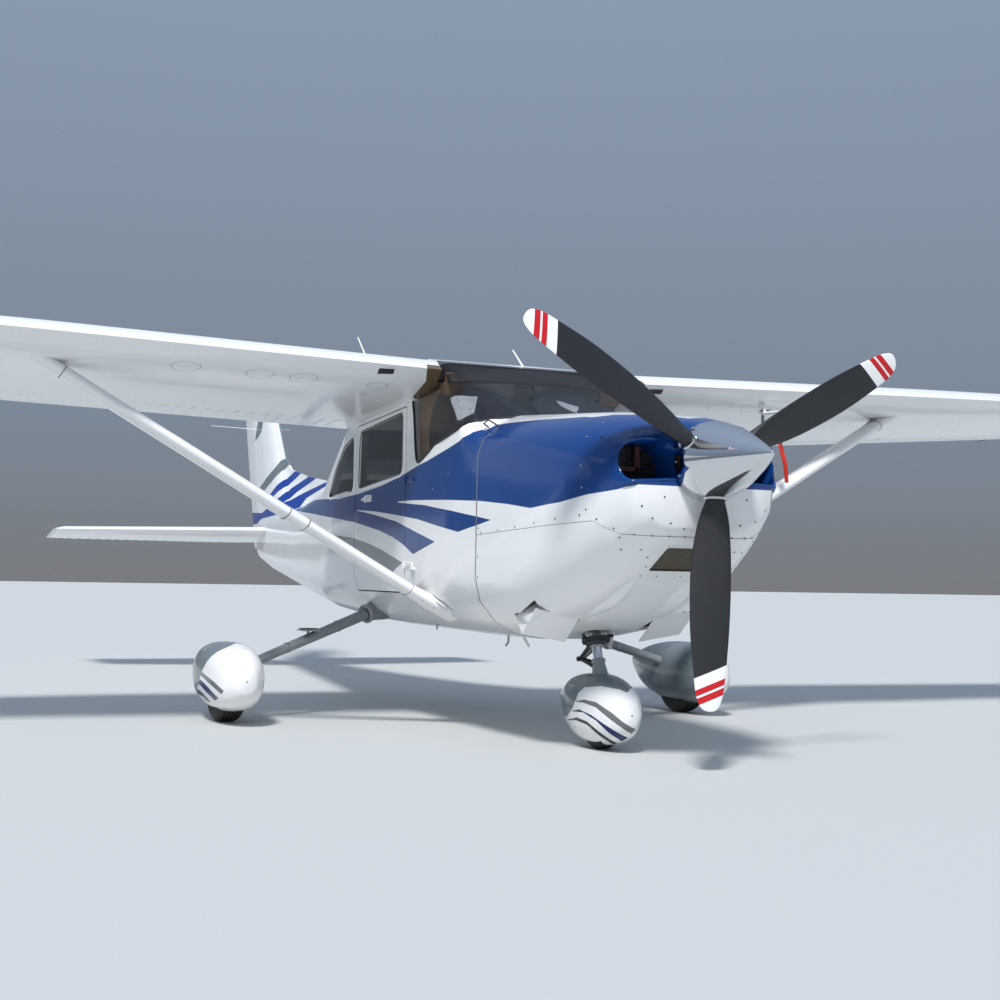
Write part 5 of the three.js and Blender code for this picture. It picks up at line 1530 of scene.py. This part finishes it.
def wing_slots():
    """Raised frames round flat dark patches, for the slots in the leading edges near the cabin."""
    for name, corners in SLOTS:
        node = f"wing_{name}"
        line = [skin_point(node, (x, -4, z), (0, 1, 0)) for x, z in rounded(corners, 0.008, 3)]
        edge = [place + normal * 0.001 for place, normal in line]
        worn_by(wire(f"slot_frame_{name}", edge, 0.004, closed=True), "airframe", paints["shell"])
        x, z = (sum(values) / 4 for values in zip(*corners))
        middle, _ = skin_point(node, (x, -4, z), (0, 1, 0))
        rings = [[place.lerp(middle, share) + normal * 0.0015 for place, normal in line]
                 for share in (0, 0.5, 0.98)]
        worn_by(skinned(f"slot_inside_{name}", rings, degrees=30), "airframe", paints["dark"])


def pitot():
    """The mast and tube under the left wing, with a hanging red ribbon."""
    x, y = PITOT_PLACE
    root, _ = skin_point("wing_left", (x, y, 0), (0, 0, 1))
    low = Vector((x, y - 0.03, root.z - 0.14))
    mast = wire("mast", [root + Vector((0, 0, 0.01)), root - Vector((0, 0, 0.06)), low,
                         low + Vector((0, -0.05, -0.012)), low + Vector((0, -0.2, -0.012))], 0.0095)
    plate = block("plate", root - Vector((0.03, 0.045, 0.002)), root + Vector((0.03, 0.045, 0.002)))
    piece = joined("pitot_mast", [mast, bevelled(plate, 0.0015)])
    worn_by(piece, "airframe", paints["grey"])
    pitot_ribbon(low + Vector((0, -0.15, 0)))


def pitot_ribbon(top):
    """A ribbon that hangs in soft waves from a loop round the tube."""
    width, length = RIBBON_SIZE
    rows = []
    for i in range(27):
        drop = length * i / 26
        row = []
        for j in range(9):
            sway = 0.006 * math.sin(drop * 30) + 0.003 * math.sin(j + drop * 18)
            row.append(Vector((top.x + drop * 0.2 + width * (j / 8 - 0.5), top.y + sway,
                               top.z - 0.022 - drop * 0.985)))
        rows.append(row)
    ribbon = skinned("pitot_ribbon", rows, closed=False, degrees=80)
    modified(ribbon, "SOLIDIFY", thickness=0.0008)
    worn_by(ribbon, "airframe", paints["ribbon"])
    loop = wire("ribbon_loop", [top + Vector((across, 0, up)) for across, up in RIBBON_LOOP], 0.0018)
    worn_by(loop, "airframe", paints["ribbon"])


def lamp(name, body, place, direction, radius, paint):
    """A small lens on a metal base."""
    dome = [(0, radius * 1.1), (radius * 0.55, radius * 0.95), (radius * 0.9, radius * 0.5),
            (radius, 0.002), (radius, -0.004), (0, -0.004)]
    worn_by(lathed(name, dome, 24, place, direction), body, paints[paint])
    disc = [(0, 0.002), (radius * 1.25, 0.002), (radius * 1.3, -0.002), (0, -0.004)]
    worn_by(lathed(name + "_base", disc, 24, place, direction), body, paints["alloy"])


TIP_LAMP_X, TIP_LAMP_Z = 5.36, 1.985


def lamps():
    for name, side in SIDES:
        place, normal = skin_point(f"wing_tip_{name}", (side * TIP_LAMP_X, -4, TIP_LAMP_Z), (0, 1, 0))
        lamp(f"tip_lamp_{name}", "airframe", place - normal * 0.002, normal, 0.022,
             "red_lens" if side > 0 else "green_lens")
    place, normal = skin_point("fin", (0, 3.66, 4), (0, 0, -1))
    lamp("beacon", "airframe", place - Vector((0, 0, 0.012)), (0, 0, 1), 0.011, "red_lens")


CAP_PROFILE = ((0, 0.006), (0.03, 0.006), (0.034, 0.004), (0.035, 0.001), (0.046, 0.001), (0.048, -0.002),
               (0, -0.002))


def fuel_caps():
    for name, side in SIDES:
        place, normal = skin_point(f"wing_{name}", (side * 1.35, -1.75, 4), (0, 0, -1))
        cap = lathed(f"fuel_cap_{name}", CAP_PROFILE, 32, place, normal)
        tab = bevelled(block("tab", (-0.024, -0.005, 0.005), (0.024, 0.005, 0.009)), 0.0015)
        tab.data.transform(set_on(place, normal))
        worn_by(joined(f"fuel_cap_{name}", [cap, tab]), "airframe", paints["alloy"])


WICK_COLUMNS = (4.2, 4.7)


def whiskers():
    """Two thin aerials swept back from the fin, and rods that shed static from the ailerons."""
    rods = [rod("whisker", (side * 0.02, 3.72, 2.06), (side * 0.36, 4.02, 2.1), 0.003, 0.002, 8)
            for side in (1, -1)]
    feet = [rod("foot", (side * 0.012, 3.7, 2.055), (side * 0.04, 3.74, 2.062), 0.008, 0.006, 10)
            for side in (1, -1)]
    worn_by(joined("fin_aerials", rods + feet), "airframe", paints["shell"])
    for name, side in SIDES:
        node = f"aileron_{name}"
        _low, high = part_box(node)
        wicks = []
        for x in WICK_COLUMNS:
            tries = (first_of((node,), (side * x, high[1] - i * 0.01, 4), (0, 0, -1)) for i in range(30))
            place, _ = next(spot for spot in tries if spot)
            wicks.append(rod("wick", place, place + Vector((0, 0.14, -0.012)), 0.0035, 0.0012, 6))
        worn_by(joined(f"static_wicks_{name}", wicks), f"aileron_set_{name}", paints["dark"])


# Doors and cabin sides
RAIN_STRIP = ((-1.71, 1.738), (-1.5, 1.727), (-1.2, 1.71), (-0.85, 1.69))


def door_handle(name, side):
    """A bent lever on a round plate in a shallow raised pocket."""
    base, _ = skin_point(f"door_{name}", (side * 2, -0.99, 1.235), (-side, 0, 0))
    out = Vector((side, 0, 0))
    lever = wire("lever", [base, base + out * 0.022, base + out * 0.026 + Vector((0, -0.02, 0.004)),
                           base + out * 0.024 + Vector((0, -0.1, 0.014))], 0.0055)
    plate = rod("plate", base - out * 0.004, base + out * 0.004, 0.016, sides=24)
    pocket = bevelled(block("pocket", base + Vector((-0.003, -0.11, -0.012)),
                            base + Vector((0.003, 0.022, 0.028))), 0.0025)
    worn_by(joined(f"door_handle_{name}", [lever, bevelled(plate, 0.002), pocket]), f"door_set_{name}",
            paints["shell"])


def door_hinges(name, side):
    """Two plates with upright pins, on the cabin side ahead of the door."""
    hinges, pins = [], []
    for z in (1.315, 0.86):
        spot, _ = skin_point(f"cabin_side_{name}", (side * 2, -1.74, z), (-side, 0, 0))
        hinges.append(bevelled(block("hinge", spot + Vector((-0.006, -0.075, -0.014)),
                                     spot + Vector((0.006, 0.035, 0.014))), 0.004))
        middle = spot + Vector((side * 0.006, 0.045, 0))
        pins.append(rod("pin", middle - Vector((0, 0, 0.02)), middle + Vector((0, 0, 0.02)), 0.006, sides=12))
    worn_by(joined(f"door_hinges_{name}", hinges + pins), "airframe", paints["fuselage"])


def side_fittings(name, side):
    """A small bump ahead of the door, and a rain strip where the cabin side reaches over it."""
    node = f"cabin_side_{name}"
    spot, _ = skin_point(node, (side * 2, -1.819, 0.836), (-side, 0, 0))
    extras = [bevelled(block("bump", spot + Vector((-0.012, -0.034, -0.009)),
                             spot + Vector((0.012, 0.034, 0.01))), 0.008, 3)]
    line = skin_line((node,), RAIN_STRIP, side, 0.002)
    if len(line) == len(RAIN_STRIP):
        extras.append(wire("rain_strip", [place + Vector((side * 0.003, 0, 0)) for place in line], 0.004))
    worn_by(joined(f"side_fittings_{name}", extras), "airframe", paints["shell"])


def doors():
    for name, side in SIDES:
        door_handle(name, side)
        door_hinges(name, side)
        side_fittings(name, side)


LATCH_HEIGHT = 0.045


def latch_and_drains():
    """The wire loop of the oil door's latch, and a drain tube and a peg under the belly."""
    base, normal = skin_point("cowl_upper", (-0.42, -2.66, 4), (0, 0, -1))
    rise = normal * LATCH_HEIGHT
    line = [base, base + rise + Vector((-0.02, 0.03, 0.0)), base + rise * 0.7 + Vector((-0.02, 0.11, 0)),
            base + rise * 0.1 + Vector((-0.012, 0.1, 0))]
    worn_by(wire("latch_loop", line, 0.004), "airframe", paints["dark"])
    spot, _ = skin_point("belly", (0.0, -1.85, 0), (0, 0, 1))
    drain = wire("drain", [spot + Vector((0, 0, 0.01)), spot - Vector((0, 0, 0.05)),
                           spot + Vector((0, 0.03, -0.07))], 0.006)
    second, _ = skin_point("belly", (-0.32, -1.6, 0), (0, 0, 1))
    peg = rod("peg", second + Vector((0, 0, 0.01)), second - Vector((0, 0, 0.03)), 0.007, 0.005, 12)
    worn_by(joined("belly_drains", [drain, peg]), "airframe", paints["steel"])


# Main legs
LEG_ROOT, LEG_FOOT = Vector((0.385, -0.85, 0.612)), Vector((1.301, -1.287, 0.3))
# Rings of the clamp: share of the leg's length, radius
CLAMP_RINGS = ((0.115, 0.03), (0.115, 0.052), (0.12, 0.056), (0.135, 0.056), (0.14, 0.052), (0.14, 0.03))
BRAKE_LINE = (0.12, 0.3, 0.5, 0.7, 0.9, 0.99)
TREAD_INNER, TREAD_OUTER = 0.855, 0.955


def leg_fittings():
    """A clamp where each leg leaves the belly, its brake line with ties, and a tread on the step."""
    for name, side in SIDES:
        start, end = (Vector((side * p.x, p.y, p.z)) for p in (LEG_ROOT, LEG_FOOT))
        way = (end - start).normalized()
        length = (end - start).length
        clamp = lathed("clamp", [(radius, share * length) for share, radius in CLAMP_RINGS], 32, start, way)
        brake = wire("brake_line", [start.lerp(end, s) + Vector((0, 0.034 - 0.008 * s, -0.01))
                                    for s in BRAKE_LINE], 0.003)
        ties = []
        for share in (0.35, 0.72):
            reach = 0.036 - 0.008 * share
            loop = [(0.03, -0.004), (reach, -0.004), (reach, 0.004), (0.03, 0.004)]
            ties.append(lathed("tie", loop, 24, start.lerp(end, share), way))
        worn_by(joined(f"leg_clamps_{name}", [clamp, brake] + ties), "airframe", paints["steel"])
        left, right = sorted((side * TREAD_INNER, side * TREAD_OUTER))
        tread = bevelled(block(f"step_tread_{name}", (left, -1.13, 0.488), (right, -1.07, 0.494)), 0.002)
        worn_by(tread, "airframe", paints["dark"])


# Behind the windshield
PILLAR_REAR = ((-1.79, 1.76), (-1.8, 1.66), (-1.815, 1.56), (-1.835, 1.47), (-1.87, 1.415))
PILLAR_FRONT = ((-2.15, 1.79), (-2.04, 1.72), (-1.965, 1.62), (-1.95, 1.52), (-1.96, 1.42))
PILLAR_X = 0.524
VISOR_MIDDLE, VISOR_HALF = 0.46, 0.065


def pillars():
    """Linings inside the windshield's side posts, and the sun visors."""
    for name, side in SIDES:
        rows = []
        for back, fore in zip(through(PILLAR_REAR, 4), through(PILLAR_FRONT, 4)):
            rows.append([Vector((side * (PILLAR_X - 0.012 * math.sin(math.pi * j / 6)),
                                 back[0] + (fore[0] - back[0]) * j / 6,
                                 back[1] + (fore[1] - back[1]) * j / 6)) for j in range(7)])
        strip = skinned(f"pillar_lining_{name}", rows, closed=False, degrees=70)
        modified(strip, "SOLIDIFY", thickness=0.004)
        worn_by(strip, "airframe", paints["tan"])
        visor = cushion(f"visor_{name}", (side * VISOR_MIDDLE - VISOR_HALF, -2.135, 1.735),
                        (side * VISOR_MIDDLE + VISOR_HALF, -2.115, 1.865), 0.25, 4)
        leaned(visor, (0, -2.12, 1.86), 14)
        worn_by(visor, "airframe", paints["tan"])


HEADER_HALF = 0.5
COMPASS_PROFILE = ((0, -0.03), (0.028, -0.026), (0.034, -0.01), (0.034, 0.012), (0.026, 0.024), (0, 0.026))


def header():
    """The brown band across the top of the windshield, and the compass hung from it."""
    rows = []
    for i in range(25):
        x = i / 24 - HEADER_HALF
        outwards = (x / HEADER_HALF) ** 2
        bow = 0.05 * (1 - outwards)
        rows.append([Vector((x, -2.1 - bow - 0.07 * j / 4, 1.9 - 0.085 * j / 4 - 0.015 * outwards))
                     for j in range(5)])
    band = skinned("windshield_header", rows, closed=False, degrees=60)
    modified(band, "SOLIDIFY", thickness=0.006)
    worn_by(band, "airframe", paints["brown"])
    case = lathed("case", COMPASS_PROFILE, 28, (-0.03, -2.22, 1.745), (0, -1, 0.2))
    stalk = rod("stalk", (-0.03, -2.2, 1.77), (-0.03, -2.15, 1.85), 0.006)
    worn_by(joined("compass", [case, stalk]), "airframe", paints["dark"])


SHADE_FOOT = 1.575
# How much wider and taller the flat sheet is than the drawn shape
FLAT_WIDER, FLAT_TALLER = 1.12, 1.35


def shade(name, x_low, x_high, peak, tall, silver):
    """A quilted sunshade leaning inside the windshield, slumped on the panel's hood."""
    rows = []
    wide = x_high - x_low
    for i in range(33):
        share = i / 32
        x = x_low + wide * share
        near_peak = 1 - min(abs(share - peak) / max(peak, 1 - peak), 1) ** 1.6
        reach = 0.35 + 0.65 * near_peak
        row = []
        for j in range(15):
            rise = j / 14 * reach
            z = SHADE_FOOT + tall * rise
            spot = first_of(("windshield",), (x, -4, z + 0.035), (0, 1, 0))
            glass_y = spot[0].y if spot else -2.5
            fold = 0.006 * math.sin(share * 17 + rise * 3) + 0.004 * math.sin(share * 31 - rise * 9)
            row.append(Vector((x, glass_y + 0.06 + fold, z)))
        rows.append(row)
    sheet = skinned(name, rows, closed=False, degrees=80)
    area = sum(face.area for face in sheet.data.polygons)
    modified(sheet, "SOLIDIFY", thickness=0.003)
    worn_by(sheet, "airframe", paints[silver])
    flat = (wide * FLAT_WIDER, tall * FLAT_TALLER)
    min(area, flat[0] * flat[1])


def cabin_front():
    pillars()
    header()
    shade("sunshade_right", -0.52, -0.13, 0.4, 0.2, "foil_right")
    shade("sunshade_left", -0.1, 0.44, 0.42, 0.215, "foil_left")


PANEL_FACE = -2.2148
BEZEL = ((0.028, 0), (0.034, 0), (0.034, 0.006), (0.03, 0.008), (0.028, 0.004), (0.028, 0))
DIAL = ((0, 0.003), (0.0285, 0.003), (0.0285, 0), (0, 0))
KNOB = ((0, 0.03), (0.009, 0.028), (0.011, 0.016), (0.004, 0.014), (0.004, 0), (0, 0))


def panel_dials():
    """Round dials, two upright units and a row of knobs on the panel's face."""
    places = [(x, PANEL_FACE, z) for x in DIAL_COLUMNS for z in DIAL_ROWS]
    rings = [lathed("bezel", BEZEL, 24, place, (0, 1, 0)) for place in places]
    faces = [lathed("dial", DIAL, 24, place, (0, 1, 0)) for place in places]
    for x in (-0.36, -0.27):
        unit = block("stack", (x - 0.04, PANEL_FACE, 1.2), (x + 0.04, PANEL_FACE + 0.012, 1.46))
        rings.append(bevelled(unit, 0.003))
    knobs = [lathed("knob", KNOB, 16, (i * 0.08 - 0.32, PANEL_FACE, 1.16), (0, 1, 0)) for i in range(9)]
    worn_by(joined("panel_bezels", rings), "airframe", paints["iron"])
    worn_by(joined("panel_dials", faces), "airframe", paints["dial"])
    worn_by(joined("panel_knobs", knobs), "airframe", paints["dark"])


CHEEK_LOW = ((0.431, -2.93, 0.604), (0.425, -3.03, 0.594), (0.396, -3.08, 0.622), (0.372, -3.114, 0.643))
CHEEK_HIGH = ((0.405, -2.91, 0.7), (0.395, -2.99, 0.7), (0.375, -3.07, 0.7), (0.35, -3.14, 0.7))


def flap_cheeks():
    """The white side walls between each cowl flap and the cowl."""
    for name, side in SIDES:
        rows = [[Vector((side * x, y, z)) for x, y, z in row] for row in (CHEEK_LOW, CHEEK_HIGH)]
        sheet = skinned(f"flap_cheek_{name}", rows, closed=False, degrees=60)
        modified(sheet, "SOLIDIFY", thickness=0.003)
        worn_by(sheet, "airframe", paints["shell"])


HOOD_FOOT = ((0.483, -1.85, 0.672), (0.492, -1.96, 0.683), (0.496, -2.07, 0.688), (0.476, -2.14, 0.654),
             (0.445, -2.19, 0.622))
HOOD_REACH = (0.004, 0.018, 0.024, 0.018, 0.008)


def strut_hoods():
    """The bent lip that shelters each strut's foot."""
    for name, side in SIDES:
        foot = [Vector((side * x, y, z)) for x, y, z in HOOD_FOOT]
        lip = [place + Vector((side * reach, 0, -reach * 0.35)) for place, reach in zip(foot, HOOD_REACH)]
        sheet = skinned(f"strut_hood_{name}", [foot, lip], closed=False, degrees=60)
        modified(sheet, "SOLIDIFY", thickness=0.0025)
        worn_by(sheet, "airframe", paints["shell"])


propeller()
spinner()
cowl_inlets()
chin_inlet()
cowl_fasteners()
cowl_blisters()
window_seals()
seats()
pants()
tyres()
nose_collar()
nose_piston()
nose_link()
struts()
beads()
wing_slots()
pitot()
lamps()
fuel_caps()
whiskers()
doors()
latch_and_drains()
leg_fittings()
cabin_front()
panel_dials()
flap_cheeks()
strut_hoods()


# Floor, light and camera
FLOOR_SIZE = 160
FLOOR_LIGHT, FLOOR_DARK = (0.56, 0.57, 0.56, 1), (0.5, 0.5, 0.49, 1)
# The world's colour from the ground, at 0, to straight up, at 1
SKY = ((0.0, (0.24, 0.25, 0.27, 1)), (0.1, (0.25, 0.31, 0.39, 1)), (0.5, (0.36, 0.46, 0.62, 1)),
       (1.0, (0.5, 0.62, 0.82, 1)))
SKY_STRENGTH = 0.8
SUN_STRENGTH, SUN_SPREAD = 3.5, 9
SUN_WAY = Vector((0.42, 0.62, -0.9))


def studio():
    floor = added(bpy.ops.mesh.primitive_plane_add, "floor", size=FLOOR_SIZE, location=(0, 0, -0.001))
    paint = Paint("floor_paint")
    colour = paint.mix(paint.noise(0.8, 3.0) * 0.1, FLOOR_LIGHT, FLOOR_DARK)
    floor.data.materials.append(paint.finished(colour, 0.75))
    world = bpy.data.worlds.new("studio")
    world.use_nodes = True
    bpy.context.scene.world = world
    tree = world.node_tree
    back = tree.nodes["Background"]
    place = tree.nodes.new("ShaderNodeTexCoord")
    split = tree.nodes.new("ShaderNodeSeparateXYZ")
    ramp = tree.nodes.new("ShaderNodeValToRGB")
    tree.links.new(place.outputs["Generated"], split.inputs[0])
    tree.links.new(split.outputs["Z"], ramp.inputs[0])
    tree.links.new(ramp.outputs[0], back.inputs["Color"])
    Paint.set_stops(ramp.color_ramp, SKY)
    back.inputs["Strength"].default_value = SKY_STRENGTH
    key = bpy.data.lights.new("key", "SUN")
    key.energy = SUN_STRENGTH
    key.angle = math.radians(SUN_SPREAD)
    sun = bpy.data.objects.new("key", key)
    sun.rotation_euler = SUN_WAY.to_track_quat("-Z", "Y").to_euler()
    bpy.context.scene.collection.objects.link(sun)


def photo_camera():
    """The camera stands where the photograph was taken from."""
    place = Vector((-3.336, -9.469, 0.811))
    turn, tilt, roll = math.radians(23.24), math.radians(2.83), math.radians(1.026)
    ahead = Vector((math.sin(turn) * math.cos(tilt), math.cos(turn) * math.cos(tilt), math.sin(tilt)))
    right = Vector((math.cos(turn), -math.sin(turn), 0))
    up = right.cross(ahead)
    across = right * math.cos(roll) + up * math.sin(roll)
    upward = up * math.cos(roll) - right * math.sin(roll)
    lens = bpy.data.cameras.new("camera")
    lens.sensor_width = 36
    lens.lens = 54.91
    lens.clip_end = 400
    camera = bpy.data.objects.new("camera", lens)
    camera.matrix_world = Matrix((
        (across.x, upward.x, -ahead.x, place.x),
        (across.y, upward.y, -ahead.y, place.y),
        (across.z, upward.z, -ahead.z, place.z),
        (0, 0, 0, 1)))
    bpy.context.scene.collection.objects.link(camera)
    bpy.context.scene.camera = camera


studio()
photo_camera()
bpy.context.scene.view_settings.view_transform = "Standard"
